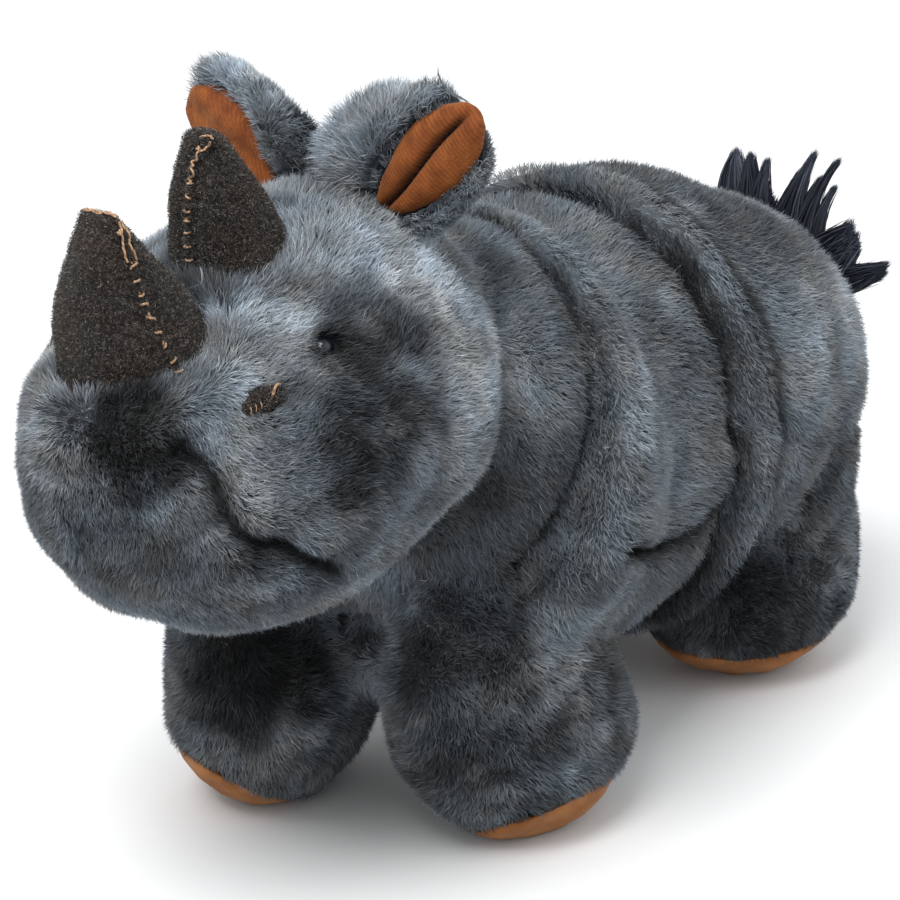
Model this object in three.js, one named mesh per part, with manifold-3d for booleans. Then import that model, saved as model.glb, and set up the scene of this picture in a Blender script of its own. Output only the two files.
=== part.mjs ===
// A stuffed plush rhinoceros on four padded feet, in millimetres: +X to the nose, +Y to its left, +Z up.
// Each stuffed piece is a few ellipsoid lumps of filling under one fabric, out to the tips of the pile.
// Pieces that are sewn to one another are parted by a thin gap where their seam is.
import * as THREE from "three";
import { mergeVertices } from "three/addons/utils/BufferGeometryUtils.js";
import Module from "manifold-3d";

const wasm = await Module();
wasm.setup();

// ---- Driving sizes ----
const SEAM_GAP = 0.35; // between two pieces that are sewn together
const SPINE_HEIGHT = 80; // the middle line that the rings of the trunk are drawn around
const CREASE_DEPTH = 4.5; // how far a sewn fold pulls the fabric in
const ROLL_HEIGHT = 3; // how far the filling stands proud behind a fold
const HEAD_TURN = -5; // degrees: the nose points a little to the animal's right
const NECK = [60, 0, 0]; // the head turns about the upright line through this point

// ---- Fabrics ----
const material = (color, roughness) => new THREE.MeshStandardMaterial({ color, roughness, metalness: 0 });
const GREY_PLUSH = material(0x5d656b, 0.95);
const BROWN_FELT = material(0x2e2620, 0.95);
const RUST_VELOUR = material(0xa85a22, 0.9);
const TAN_SUEDE = material(0xb8702f, 0.75);
const BLACK_GLOSS = material(0x0a0a0e, 0.12);
const NAVY_YARN = material(0x232a38, 0.9);

// ---- Solids from three.js geometries ----
// A closed three.js geometry as a manifold-3d solid.
function solid(geometry) {
  const bare = geometry.clone();
  bare.deleteAttribute("normal");
  bare.deleteAttribute("uv");
  const merged = mergeVertices(bare, 1e-3);
  const mesh = new wasm.Mesh({
    numProp: 3,
    vertProperties: new Float32Array(merged.attributes.position.array),
    triVerts: new Uint32Array(merged.index.array),
  });
  return new wasm.Manifold(mesh);
}

// The biggest body of a solid that a cut has left in more than one.
const biggest = (body) => body.decompose().sort((a, b) => b.volume() - a.volume())[0];

// A solid as a three.js mesh, which is one node of the part.
function node(name, body, finish) {
  const mesh = biggest(body).getMesh();
  const geometry = new THREE.BufferGeometry();
  geometry.setAttribute("position", new THREE.BufferAttribute(mesh.vertProperties, 3));
  geometry.setIndex(new THREE.BufferAttribute(mesh.triVerts, 1));
  geometry.computeVertexNormals();
  const made = new THREE.Mesh(geometry, finish);
  made.name = name;
  return made;
}

// The geometry with each of its corners moved by `move`, which changes the point it is given.
function reshaped(geometry, move) {
  const spots = geometry.attributes.position;
  const point = new THREE.Vector3();
  for (let i = 0; i < spots.count; i++) {
    move(point.fromBufferAttribute(spots, i));
    spots.setXYZ(i, point.x, point.y, point.z);
  }
  return geometry;
}

const vector = (triple) => new THREE.Vector3(...triple);

// The place of a piece whose own X, Y and Z run across it, along it and out of its face.
function stance(place, along, facing) {
  const length = vector(along).normalize();
  const across = length.clone().cross(vector(facing)).normalize();
  const face = across.clone().cross(length);
  return new THREE.Matrix4().makeBasis(across, length, face).setPosition(...place);
}

// A mirrored geometry has its faces the wrong way round, and this turns each of them back.
function facesTurned(geometry) {
  const index = geometry.index.array;
  for (let i = 0; i < index.length; i += 3) [index[i + 1], index[i + 2]] = [index[i + 2], index[i + 1]];
  return geometry;
}

// The same triple on the animal's other side.
const mirrored = ([x, y, z], side) => [x, side * y, z];

// ---- Stuffed pieces ----
const lump = (centre, half) => ({ centre: vector(centre), half: vector(half) });

// A lump and its twin on the other side of the animal.
const pair = (centre, half) => [lump(centre, half), lump(mirrored(centre, -1), half)];

// How far a point is outside one lump, less than zero inside it.
function outside(point, { centre, half }) {
  const scaled = point.clone().sub(centre).divide(half);
  const steepness = scaled.clone().divide(half).length();
  return (scaled.length() * (scaled.length() - 1)) / Math.max(steepness, 1e-6);
}

// How far a point is outside the fabric drawn over some lumps. `tension` sets how it fills their valleys.
function gapToFabric(point, { lumps, tension, dent }) {
  const gaps = lumps.map((one) => outside(point, one));
  const nearest = Math.min(...gaps);
  const sum = gaps.reduce((total, gap) => total + Math.exp((nearest - gap) / tension), 0);
  return nearest - tension * Math.log(sum) + (dent ? dent(point) : 0);
}

// Where the line that `at(distance)` walks out along meets the fabric, grown by `grow`.
function edgeOfFabric(piece, at, grow) {
  const far = 170;
  const step = 4;
  const halvings = 16;
  let out = far;
  while (out > step && gapToFabric(at(out - step), piece) > grow) out -= step;
  let low = Math.max(out - step, 0);
  let high = out;
  for (let k = 0; k < halvings; k++) {
    const middle = (low + high) / 2;
    if (gapToFabric(at(middle), piece) > grow) high = middle;
    else low = middle;
  }
  return at(high);
}

// A stuffed ball: each corner of an icosahedron goes out from the piece's heart to its fabric.
function stuffed(piece, grow = 0) {
  const heart = vector(piece.heart);
  return reshaped(new THREE.IcosahedronGeometry(1, piece.detail), (point) => {
    const way = point.clone().normalize();
    point.copy(edgeOfFabric(piece, (distance) => heart.clone().addScaledVector(way, distance), grow));
  });
}

// ---- Head: skull, nose, jaw and two cheeks under one fabric, in its own frame before it is turned ----
const HEAD = {
  heart: [100, 0, 118],
  detail: 7,
  tension: 7,
  lumps: [
    lump([79.7, 0, 129], [47, 38, 34.4]), // skull
    lump([135.8, 0, 117.7], [26.3, 26.8, 28.4]), // nose
    lump([113, 0, 97], [33, 41.3, 25.2]), // jaw
    ...pair([95, 24.2, 116.6], [37.6, 29, 26.6]), // cheeks
  ],
};

const headTurn = THREE.MathUtils.degToRad(HEAD_TURN);
const headPlace = new THREE.Matrix4()
  .makeTranslation(...NECK)
  .multiply(new THREE.Matrix4().makeRotationZ(headTurn))
  .multiply(new THREE.Matrix4().makeTranslation(-NECK[0], -NECK[1], -NECK[2]));

// The skin of the head where a line from its heart through `toward` meets it.
function onHead(toward) {
  const heart = vector(HEAD.heart);
  const way = vector(toward).sub(heart).normalize();
  return edgeOfFabric(HEAD, (distance) => heart.clone().addScaledVector(way, distance), 0);
}

// The way straight out of the head's skin at a point.
function outOfHead(point) {
  const nudge = 0.2;
  const slope = [[1, 0, 0], [0, 1, 0], [0, 0, 1]].map((axis) => {
    const ahead = point.clone().addScaledVector(vector(axis), nudge);
    const behind = point.clone().addScaledVector(vector(axis), -nudge);
    return gapToFabric(ahead, HEAD) - gapToFabric(behind, HEAD);
  });
  return vector(slope).normalize();
}

// A sunk line in a skin: a thin tube along a few points, to be cut out of it.
function groove(points, radius) {
  const sides = 5;
  const steps = 6;
  const section = new THREE.Shape();
  section.absarc(0, 0, radius, 0, 2 * Math.PI);
  const extrudePath = new THREE.CatmullRomCurve3(points.map(vector));
  const sweep = { steps, curveSegments: sides, bevelEnabled: false, extrudePath };
  return new THREE.ExtrudeGeometry(section, sweep);
}

// ---- Trunk: rings of fabric between two sewn folds, so that each panel is a closed tube ----
const TAIL_END = -141.6;
const CHEST_END = 74.6;
const frontFold = (z) => 43.5 - 0.52 * (z - 100);
const rearFold = (z) => -29.5 - 0.03 * (z - 100);
const thighFold = () => -54;

// A smooth bump, 1 at the middle of its span and near 0 past its edges.
const bump = (distance, middle, span) => Math.exp(-(((distance - middle) / span) ** 2));

// How a sewn fold moves the fabric at a distance behind it: in at the crease, out at the roll behind it.
function foldDent(distance, depth, roll) {
  const crease = depth * bump(distance, 0, 3.2);
  const slackBefore = 0.3 * depth * bump(distance, -7, 5);
  const rollBehind = roll * bump(distance, 11, 7);
  return crease + slackBefore - rollBehind;
}

const TRUNK = {
  tension: 8,
  lumps: [
    lump([32, 0, 83], [43, 62, 65.9]), // shoulders
    lump([-38, 0, 78.5], [66, 57.4, 61.5]), // barrel
    lump([-83.4, 0, 75], [59, 54.7, 48]), // rump
  ],
  dent: ({ x, z }) =>
    foldDent(frontFold(z) - x, CREASE_DEPTH, ROLL_HEIGHT) +
    foldDent(rearFold(z) - x, CREASE_DEPTH, ROLL_HEIGHT) +
    foldDent(thighFold() - x, 0.4 * CREASE_DEPTH, 0.3 * ROLL_HEIGHT),
};

// The flank panel's lower hem, which hangs over the belly between the legs.
const FLANK_HEM = [[-20, 60, 65], [-8, 60, 62], [8, 60, 63.5], [22, 60, 68], [34, 60, 74]];
const HEM_DEPTH = 2.4;

// The fabric of the trunk where a line from its spine, square to X and through a point, meets it.
function onTrunk([x, y, z]) {
  const upward = z - SPINE_HEIGHT;
  const reach = Math.hypot(y, upward);
  const at = (distance) => vector([x, (distance * y) / reach, SPINE_HEIGHT + (distance * upward) / reach]);
  return edgeOfFabric(TRUNK, at, 0);
}

// A panel of the trunk through a list of stations, front to rear, each giving its X at any height.
function panel(stations, grow = 0) {
  const around = 24;
  const tube = new THREE.CylinderGeometry(1, 1, 1, around, stations.length - 1);
  return reshaped(tube, (point) => {
    const station = stations[Math.round((0.5 - point.y) * (stations.length - 1))];
    const radial = Math.hypot(point.x, point.z);
    if (radial < 0.5) {
      point.set(station(SPINE_HEIGHT), 0, SPINE_HEIGHT);
      return;
    }
    const sideways = point.z / radial;
    const upward = point.x / radial;
    const at = (distance) => {
      const z = SPINE_HEIGHT + distance * upward;
      return new THREE.Vector3(station(z), distance * sideways, z);
    };
    point.copy(edgeOfFabric(TRUNK, at, grow));
  });
}

const between = (front, rear, share) => (z) => front(z) + (rear(z) - front(z)) * share;
const behind = (fold, distance) => (z) => fold(z) - distance;
const roundOff = (share) => Math.sin((share * Math.PI) / 2);

// Stations close together over the crease and the roll behind a fold.
const overRoll = (fold) => [SEAM_GAP / 2, 3, 6.5, 11, 16, 23].map((distance) => behind(fold, distance));
const beforeFold = (fold) => [10, 6, 3].map((distance) => behind(fold, -distance));
const chest = () => CHEST_END;
const tailEnd = () => TAIL_END;

const chestBack = behind(frontFold, -16);
const shouldersStations = [
  ...[0.02, 0.3, 0.65].map((share) => between(chest, chestBack, 1 - roundOff(1 - share))),
  chestBack,
  ...beforeFold(frontFold),
  behind(frontFold, -SEAM_GAP / 2),
];
const flankStations = [
  ...overRoll(frontFold),
  between(behind(frontFold, 23), behind(rearFold, -10), 0.5),
  ...beforeFold(rearFold),
  behind(rearFold, -SEAM_GAP / 2),
];
const rumpFront = behind(rearFold, 23);
const rumpStations = [
  ...overRoll(rearFold),
  ...[0.13, 0.28, 0.43, 0.58, 0.72, 0.84, 0.93, 0.985].map((share) => between(rumpFront, tailEnd, share)),
];

// ---- Legs: a shoulder or thigh and a foot under one fabric ----
const FRONT_LEG = {
  heart: [43, 33, 32],
  detail: 4,
  tension: 6,
  lumps: [
    lump([47.7, 28, 44], [30.8, 21.2, 39]), // upper leg
    lump([38, 34.6, 23.2], [29.6, 22, 24.7]), // foot
  ],
};

const REAR_LEG = {
  heart: [-78, 31, 34],
  detail: 4,
  tension: 6,
  lumps: [
    lump([-84, 30.5, 61.8], [32.8, 24.8, 37.4]), // thigh
    lump([-75, 31.5, 23.6], [33.6, 28.4, 25.2]), // foot
  ],
};

// A leg on its own side of the animal, moved by a step.
function legAt(leg, side, step) {
  const moved = (triple) => mirrored(vector(triple).add(vector(step)).toArray(), side);
  const lumps = leg.lumps.map(({ centre, half }) => lump(moved(centre.toArray()), half.toArray()));
  return { ...leg, heart: moved(leg.heart), lumps };
}

// A block under a tilted sole: `rise` is its height below the foot's middle, and then its slopes in X and Y.
function underSole([x, y], rise, [slopeX, slopeY]) {
  const size = 200;
  const block = new THREE.BoxGeometry(size, size, size);
  return reshaped(block, (point) => {
    const top = point.z > 0 ? rise + slopeX * point.x + slopeY * point.y : -size;
    point.set(point.x + x, point.y + y, top);
  });
}

// ---- Horns: cones of felt with a bulging side and a blunt tip that is pressed flat ----
const HORN_SUNK = 9; // how far a horn's cone goes on below the top of the fabric
const FRONT_HORN = { foot: [135.5, 0, 139], tip: [146.3, 0, 172.4], footRadius: 18.2, tipRadius: 4.8 };
const REAR_HORN = { foot: [104.6, 0, 155.5], tip: [112.2, 0, 182.6], footRadius: 14.4, tipRadius: 4.8 };

function horn({ foot, tip, footRadius, tipRadius }) {
  const sides = 14;
  const rings = 6;
  const bulge = 1.5; // 1 is a straight-sided cone
  const pressed = 0.45; // how much thinner the tip is, front to rear
  const rise = tip[2] - foot[2];
  const sunk = HORN_SUNK / rise;
  return reshaped(new THREE.CylinderGeometry(1, 1, 1, sides, rings), (point) => {
    const share = (point.y + 0.5) * (1 + sunk) - sunk;
    const above = Math.max(share, 0);
    const radius = tipRadius + (footRadius - tipRadius) * (1 - above ** bulge);
    const thin = 1 - pressed * above ** 3;
    const forward = foot[0] + (tip[0] - foot[0]) * share;
    point.set(forward + point.z * radius * thin, point.x * radius, foot[2] + rise * share);
  });
}

// ---- Ears: a cupped leaf of plush, with a folded velour lining on the outer half of its face ----
const EAR = { half: [16.8, 22.6, 6], cup: 3.5, back: 10 };
const LINING = { outward: 3.6, half: [9, 18.4, 3.8], crease: 2 };
// The left ear stands more upright, and the right one is sewn a little lower and further out.
const EARS = {
  left: { place: [65, 23.3, 168.6], rise: 48, lining: [0.6, 4.3] },
  right: { place: [65, -25.4, 168.6], rise: 22, lining: [2.4, 4.8] },
};
const FLARE = { place: [-10.5, -5.5, -1.2], half: [12.2, 15, 5.8] }; // the left ear's inner edge, spread open

// The way from an ear's root to its tip.
function earLine(rise, side) {
  const up = THREE.MathUtils.degToRad(rise);
  const back = THREE.MathUtils.degToRad(EAR.back);
  return [-Math.sin(back), side * Math.cos(back) * Math.cos(up), Math.cos(back) * Math.sin(up)];
}

function earShell() {
  const [wide, long, thick] = EAR.half;
  const rootWidth = 0.68; // of the tip's width
  return reshaped(new THREE.SphereGeometry(1, 12, 8), (point) => {
    const narrowing = (1 + rootWidth + (1 - rootWidth) * point.y) / 2;
    const cupped = EAR.cup * point.x ** 2;
    point.set(point.x * wide * narrowing, point.y * long, point.z * thick + cupped);
  });
}

const earFlare = () => new THREE.SphereGeometry(1, 10, 7).scale(...FLARE.half).translate(...FLARE.place);

function earLining([aside, up], grow = 0) {
  const [wide, long, thick] = LINING.half;
  return reshaped(new THREE.SphereGeometry(1, 10, 7), (point) => {
    const crease = LINING.crease * bump(point.x, 0, 0.25) * (1 - point.y ** 2);
    const depth = point.z * (thick + grow) - (point.z > 0 ? crease : 0);
    point.set(aside + point.x * (wide + grow), up + point.y * (long + grow), LINING.outward + depth);
  });
}

// ---- Face: glossy eyes sunk in sockets, and felt nostrils sewn on the muzzle ----
const EYE = { toward: [113, 33.7, 142.3], radius: 4.6, sunk: 3.2 };
const NOSTRIL = { toward: [129.6, 31, 133.7], along: [-0.84, 0.36, 0.3], half: [3, 6.4, 1.8] };
const MOUTH = [
  [147, 27, 109.2], [142, 31, 106], [137, 35, 103.6],
  [131, 39, 99.6], [123, 42.6, 95.6], [112, 45, 94.4],
];
const MOUTH_DEPTH = 2.4;

// ---- Tail: a short strip that lies over the rump to the animal's left, with a ragged brush along it ----
const TAIL = {
  line: [[-117, -3, 113], [-123, 7, 108], [-127.5, 17, 101], [-130.5, 27, 92.5], [-131.5, 35, 84]],
  radius: 3.6,
  locks: [13, 12, 14, 25, 29, 21, 18, 17, 19], // the length of each lock, from the root to the end
  lockRadius: 3.4,
  tipRadius: 1.2,
  fan: 0.25, // how far the locks spread to the two sides
  firstRise: 72, // degrees above level at which the first lock stands back, and the last one
  lastRise: 22,
};

function tailSolid() {
  const strip = new THREE.CatmullRomCurve3(TAIL.line.map(vector));
  const section = new THREE.Shape();
  section.absarc(0, 0, TAIL.radius, 0, 2 * Math.PI);
  const core = { steps: 5, curveSegments: 5, bevelEnabled: false, extrudePath: strip };
  let brush = solid(new THREE.ExtrudeGeometry(section, core));
  TAIL.locks.forEach((length, i) => {
    const share = i / (TAIL.locks.length - 1);
    const rise = THREE.MathUtils.degToRad(THREE.MathUtils.lerp(TAIL.firstRise, TAIL.lastRise, share));
    const lean = 0.1 + TAIL.fan * Math.sin(2.4 * i);
    const way = vector([-Math.cos(rise), lean, Math.sin(rise)]).normalize();
    const lock = new THREE.CylinderGeometry(TAIL.tipRadius, TAIL.lockRadius, length, 4, 1);
    lock.translate(0, length / 2, 0);
    const root = strip.getPointAt(THREE.MathUtils.lerp(0.04, 0.96, share));
    brush = brush.add(solid(lock.applyMatrix4(stance(root.toArray(), way.toArray(), [0, 1, 0]))));
  });
  return brush;
}

// ---- Putting the toy together ----
const toy = new THREE.Group();
const body = new THREE.Group();
const headGroup = new THREE.Group();
headGroup.applyMatrix4(headPlace);
body.add(headGroup);
toy.add(body);

// The horns and ears stand on the head, and the eyes sit in it.
const headSpace = solid(stuffed(HEAD, SEAM_GAP));
let head = solid(stuffed(HEAD));
for (const [name, size] of [["horn_front", FRONT_HORN], ["horn_rear", REAR_HORN]]) {
  headGroup.add(node(name, solid(horn(size)).subtract(headSpace), BROWN_FELT));
}
for (const [side, which] of [[1, "left"], [-1, "right"]]) {
  const { place, rise, lining } = EARS[which];
  const earPlace = stance(place, earLine(rise, side), [1, 0, 0]);
  const flip = new THREE.Matrix4().makeScale(side, 1, 1);
  const posed = (geometry) => {
    const sided = side > 0 ? geometry : facesTurned(geometry.applyMatrix4(flip));
    return solid(sided.applyMatrix4(earPlace));
  };
  const leaf = which === "left" ? posed(earShell()).add(posed(earFlare())) : posed(earShell());
  const shell = leaf.subtract(posed(earLining(lining, SEAM_GAP))).subtract(headSpace);
  headGroup.add(node(`ear_${which}`, shell, GREY_PLUSH));
  headGroup.add(node(`ear_lining_${which}`, posed(earLining(lining)).subtract(headSpace), RUST_VELOUR));

  const eyeSpot = onHead(mirrored(EYE.toward, side));
  const eyeHeart = eyeSpot.clone().addScaledVector(outOfHead(eyeSpot), -EYE.sunk);
  const eyeball = (radius) => solid(new THREE.SphereGeometry(radius, 9, 6).translate(...eyeHeart.toArray()));
  head = head.subtract(eyeball(EYE.radius + SEAM_GAP));
  headGroup.add(node(`eye_${which}`, eyeball(EYE.radius), BLACK_GLOSS));

  const nostrilSpot = onHead(mirrored(NOSTRIL.toward, side));
  const nostrilOut = outOfHead(nostrilSpot).toArray();
  const patchPlace = stance(nostrilSpot.toArray(), mirrored(NOSTRIL.along, side), nostrilOut);
  const patch = new THREE.SphereGeometry(1, 9, 5).scale(...NOSTRIL.half).applyMatrix4(patchPlace);
  headGroup.add(node(`nostril_${which}`, solid(patch).subtract(headSpace), BROWN_FELT));

  const lips = MOUTH.map((point) => onHead(mirrored(point, side)).toArray());
  head = head.subtract(solid(groove(lips, MOUTH_DEPTH)));
}
headGroup.add(node("head", head, GREY_PLUSH));

// The trunk's panels end at the head, and the legs end at the trunk and the head.
const headInBody = solid(stuffed(HEAD, SEAM_GAP).applyMatrix4(headPlace));
const panels = [["shoulders", shouldersStations], ["flank", flankStations], ["rump", rumpStations]];
let legBed = headInBody;
for (const [name, stations] of panels) {
  let filled = solid(panel(stations)).subtract(headInBody);
  for (const side of [1, -1]) {
    const hem = FLANK_HEM.map((point) => onTrunk(mirrored(point, side)).toArray());
    filled = filled.subtract(solid(groove(hem, HEM_DEPTH)));
  }
  body.add(node(name, filled, GREY_PLUSH));
  legBed = legBed.add(solid(panel(stations, SEAM_GAP)));
}
const rumpBed = solid(panel(rumpStations, SEAM_GAP));
body.add(node("tail", tailSolid().subtract(rumpBed), NAVY_YARN));

// Each foot's suede sole is the slice of it under a tilted line, and the floor cuts a small flat on it.
const FLOOR = solid(new THREE.BoxGeometry(600, 600, 100).translate(0, 0, -50));
const LEGS = [
  ["front_left", FRONT_LEG, 1, [0, 0, 0], 4, [0.03, 0.5]],
  ["front_right", FRONT_LEG, -1, [16.3, -4.4, 0], 2, [0.45, -0.35]],
  ["rear_left", REAR_LEG, 1, [0, 0, 0], 10.5, [0.02, 0.02]],
  ["rear_right", REAR_LEG, -1, [0, 0, 0], 10.5, [0.02, -0.02]],
];
for (const [name, shape, side, step, rise, tilt] of LEGS) {
  const leg = legAt(shape, side, step);
  const foot = leg.lumps[1].centre;
  const middle = [foot.x, foot.y];
  const whole = solid(stuffed(leg)).subtract(legBed).subtract(FLOOR);
  const belowSeam = solid(underSole(middle, rise, tilt));
  const belowLeg = solid(underSole(middle, rise + SEAM_GAP, tilt));
  body.add(node(`leg_${name}`, whole.subtract(belowLeg), GREY_PLUSH));
  body.add(node(`sole_${name}`, whole.intersect(belowSeam), TAN_SUEDE));
}

// The origin is on the floor, under the middle of the whole toy.
body.updateMatrixWorld(true);
const middle = new THREE.Box3().setFromObject(body, true).getCenter(new THREE.Vector3());
body.position.set(-middle.x, -middle.y, 0);

export default toy;
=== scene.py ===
import math

import bmesh
import bpy
import numpy as np
from mathutils import Matrix, Vector
from mathutils.bvhtree import BVHTree


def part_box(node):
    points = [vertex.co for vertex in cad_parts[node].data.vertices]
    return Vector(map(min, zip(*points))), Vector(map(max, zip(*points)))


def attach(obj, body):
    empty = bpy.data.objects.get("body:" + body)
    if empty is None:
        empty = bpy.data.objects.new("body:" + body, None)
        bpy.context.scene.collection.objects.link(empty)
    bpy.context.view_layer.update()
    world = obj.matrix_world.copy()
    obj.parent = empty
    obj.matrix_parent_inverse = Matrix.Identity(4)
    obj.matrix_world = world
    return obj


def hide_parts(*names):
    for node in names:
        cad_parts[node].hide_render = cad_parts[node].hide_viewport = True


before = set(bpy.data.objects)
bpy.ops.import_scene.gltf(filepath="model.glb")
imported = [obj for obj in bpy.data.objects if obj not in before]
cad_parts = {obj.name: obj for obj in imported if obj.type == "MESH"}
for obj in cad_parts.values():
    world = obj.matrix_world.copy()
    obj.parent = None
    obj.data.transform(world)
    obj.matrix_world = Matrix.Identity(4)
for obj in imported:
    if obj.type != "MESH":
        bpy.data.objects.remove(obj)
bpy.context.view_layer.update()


# ---- Studio: a pale floor, a soft white room and two soft lamps ----
# The toy stands on a seamless pale floor. The room's light is soft and comes from all round, with
# a large lamp high over the nose and a weak one on the camera's right.
bpy.ops.object.select_all(action="DESELECT")
bpy.ops.mesh.primitive_plane_add(size=8, location=(0, 0, 0))
floor = bpy.context.object
floor.name = "floor"


def connect(tree, node, sockets):
    """Gives each of these sockets a plain value, or links another node's output to it."""
    for key, value in sockets.items():
        if isinstance(value, bpy.types.NodeSocket):
            tree.links.new(value, node.inputs[key])
        else:
            node.inputs[key].default_value = value


def new_finish(name):
    """A new material, its node tree and its surface shader."""
    finish = bpy.data.materials.new(name)
    finish.use_nodes = True
    return finish, finish.node_tree, finish.node_tree.nodes["Principled BSDF"]


paint, tree, surface = new_finish("floor_paint")
connect(tree, surface, {"Base Color": (0.55, 0.55, 0.55, 1), "Roughness": 0.8})
floor.data.materials.append(paint)

room = bpy.data.worlds.new("white_room")
bpy.context.scene.world = room
room.use_nodes = True
connect(room.node_tree, room.node_tree.nodes["Background"], {"Color": (0.97, 0.985, 1.0, 1), "Strength": 1.35})
bpy.context.scene.view_settings.view_transform = "Standard"


def way_out(turn, tilt):
    """The way `turn` degrees from the nose's way towards the toy's left, and `tilt` degrees above the floor."""
    turn, tilt = math.radians(turn), math.radians(tilt)
    return Vector((math.cos(turn) * math.cos(tilt), math.sin(turn) * math.cos(tilt), math.sin(tilt)))


CAMERA_AWAY = 0.836
looked_at = Vector((0.0305, 0.010, 0.090))
back = way_out(33, 20)
bpy.ops.object.camera_add(location=looked_at + CAMERA_AWAY * back)
camera = bpy.context.object
camera.rotation_euler = back.to_track_quat("Z", "Y").to_euler()
camera.data.lens = 138.8
camera.data.sensor_width = 36
camera.data.clip_start = 0.01
bpy.context.scene.camera = camera


def softbox(name, turn, tilt, away, size, power):
    """A square lamp that looks at the toy from this way, in degrees."""
    way = way_out(turn, tilt)
    bpy.ops.object.light_add(type="AREA", location=looked_at + away * way)
    lamp = bpy.context.object
    lamp.name = name
    lamp.rotation_euler = way.to_track_quat("Z", "Y").to_euler()
    lamp.data.size = size
    lamp.data.energy = power


softbox("lamp_above", 0, 62, 1.6, 1.0, 40)
softbox("lamp_right", 100, 40, 1.8, 1.2, 4)


# ---- Stuffed skin: the knitted backing of the plush, sewn and filled ----
# Head, trunk and legs are panels of one grey plush, sewn inside out and stuffed with fibre. The backing
# lies under the tips of the pile by the pile's depth. Two hand-sewn folds pinch it all round the trunk.
HEAD_TURN = math.radians(-5)
NECK = np.array(Vector((0.0535, 0, 0)))
TRUNK_NODES = ["shoulders", "flank", "rump"]
LEG_NODES = ["leg_front_left", "leg_front_right", "leg_rear_left", "leg_rear_right"]
SOLE_NODES = ["sole_front_left", "sole_front_right", "sole_rear_left", "sole_rear_right"]
FLANK_HEM = [(0.032, 0.076), (0.016, 0.068), (0.001, 0.0635), (-0.015, 0.062), (-0.027, 0.0655), (-0.036, 0.075)]
ALONG_MUZZLE = (-0.74, 0.67)  # from the nose back along the side of the straight head
MOUTH = [(-0.0900, 0.1263), (-0.0852, 0.1228), (-0.0819, 0.1176), (-0.0799, 0.1102), (-0.0763, 0.1045),
         (-0.0726, 0.1030), (-0.0692, 0.1035), (-0.0662, 0.1010), (-0.0632, 0.0983), (-0.0594, 0.0961),
         (-0.0548, 0.0935)]  # places along the muzzle and heights: the nose's edge, then the mouth


def pick(piece):
    """Selects this piece alone."""
    bpy.ops.object.select_all(action="DESELECT")
    piece.select_set(True)
    bpy.context.view_layer.objects.active = piece


def finish_with(piece, kind, **settings):
    """Adds a modifier with these settings to the piece and applies it."""
    pick(piece)
    change = piece.modifiers.new(kind, kind)
    for key, value in settings.items():
        setattr(change, key, value)
    bpy.ops.object.modifier_apply(modifier=change.name)


def cut_from(name, nodes, fine, rounds, swell=0.0):
    """One even mesh from merged copies of CAD solids, each swollen a little so that they meet."""
    bpy.ops.object.select_all(action="DESELECT")
    for node in nodes:
        copy = bpy.data.objects.new(name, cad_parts[node].data.copy())
        bpy.context.scene.collection.objects.link(copy)
        copy.select_set(True)
        bpy.context.view_layer.objects.active = copy
        bpy.ops.object.mode_set(mode="EDIT")
        bpy.ops.mesh.select_all(action="SELECT")
        bpy.ops.mesh.remove_doubles(threshold=1e-6)
        bpy.ops.object.mode_set(mode="OBJECT")
        if swell:
            growth = copy.modifiers.new("swell", "DISPLACE")
            growth.strength = swell
            growth.mid_level = 0
            bpy.ops.object.modifier_apply(modifier="swell")
    bpy.ops.object.join()
    joined = bpy.context.object
    joined.name = name
    joined.data.materials.clear()
    finish_with(joined, "REMESH", mode="VOXEL", voxel_size=fine)
    finish_with(joined, "SMOOTH", factor=0.5, iterations=rounds)
    return joined


def rows_of(items, key, wide, kind=float):
    """One property of every item of a mesh, as rows of `wide` numbers."""
    values = np.empty(len(items) * wide, kind)
    items.foreach_get(key, values)
    return values.reshape(-1, wide)


def spots(mesh):
    """The corners of a mesh and the ways that they face, as two arrays."""
    return rows_of(mesh.vertices, "co", 3), np.array([n.vector for n in mesh.vertex_normals])


def put_spots(mesh, places):
    mesh.vertices.foreach_set("co", places.ravel())
    mesh.update()


def waves(places, size, seed):
    """A smooth chance value, mostly from -1 to 1, whose patches are about `size` across."""
    draw = np.random.default_rng(seed)
    count = 14
    ways = draw.normal(size=(count, 3))
    ways *= (np.pi / size * draw.uniform(0.6, 1.5, count) / np.linalg.norm(ways, axis=1))[:, None]
    return np.sin(places @ ways.T + draw.uniform(0, 2 * np.pi, count)).sum(1) / math.sqrt(count)


def bump(distance, middle, span):
    """1 at the middle of its span and near 0 past its edges."""
    return np.exp(-(((distance - middle) / span) ** 2))


def rise(distance, start, end):
    """0 before the start and 1 past the end, with a smooth step between."""
    share = np.clip((distance - start) / (end - start), 0, 1)
    return share * share * (3 - 2 * share)


def in_head(places):
    """Places in the straight head's own frame, before it was turned on the neck."""
    turned = np.array(Matrix.Rotation(-HEAD_TURN, 3, "Z"))
    return (np.atleast_2d(places) - NECK) @ turned.T + NECK


def out_of_head(ways):
    """Ways from the straight head's frame, in the toy's frame."""
    return np.atleast_2d(ways) @ np.array(Matrix.Rotation(HEAD_TURN, 3, "Z")).T


def behind_folds(places):
    """How far each place lies behind the shoulder fold, the rib fold and the thigh fold."""
    x, z = places[:, 0], places[:, 2]
    return 0.037 - 0.52 * (z - 0.1) - x, -0.036 - 0.03 * (z - 0.1) - x, -0.052 - x


def off_line(places, line):
    """How far each place lies from a line through these points."""
    line = np.array(line)
    steps = np.linspace(0, 1, len(line))
    fine = np.stack([np.interp(np.linspace(0, 1, 80), steps, line[:, k]) for k in range(line.shape[1])], 1)
    nearest = np.full(len(places), 1.0)
    for point in fine:
        nearest = np.minimum(nearest, np.linalg.norm(places - point, axis=1))
    return nearest


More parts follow.
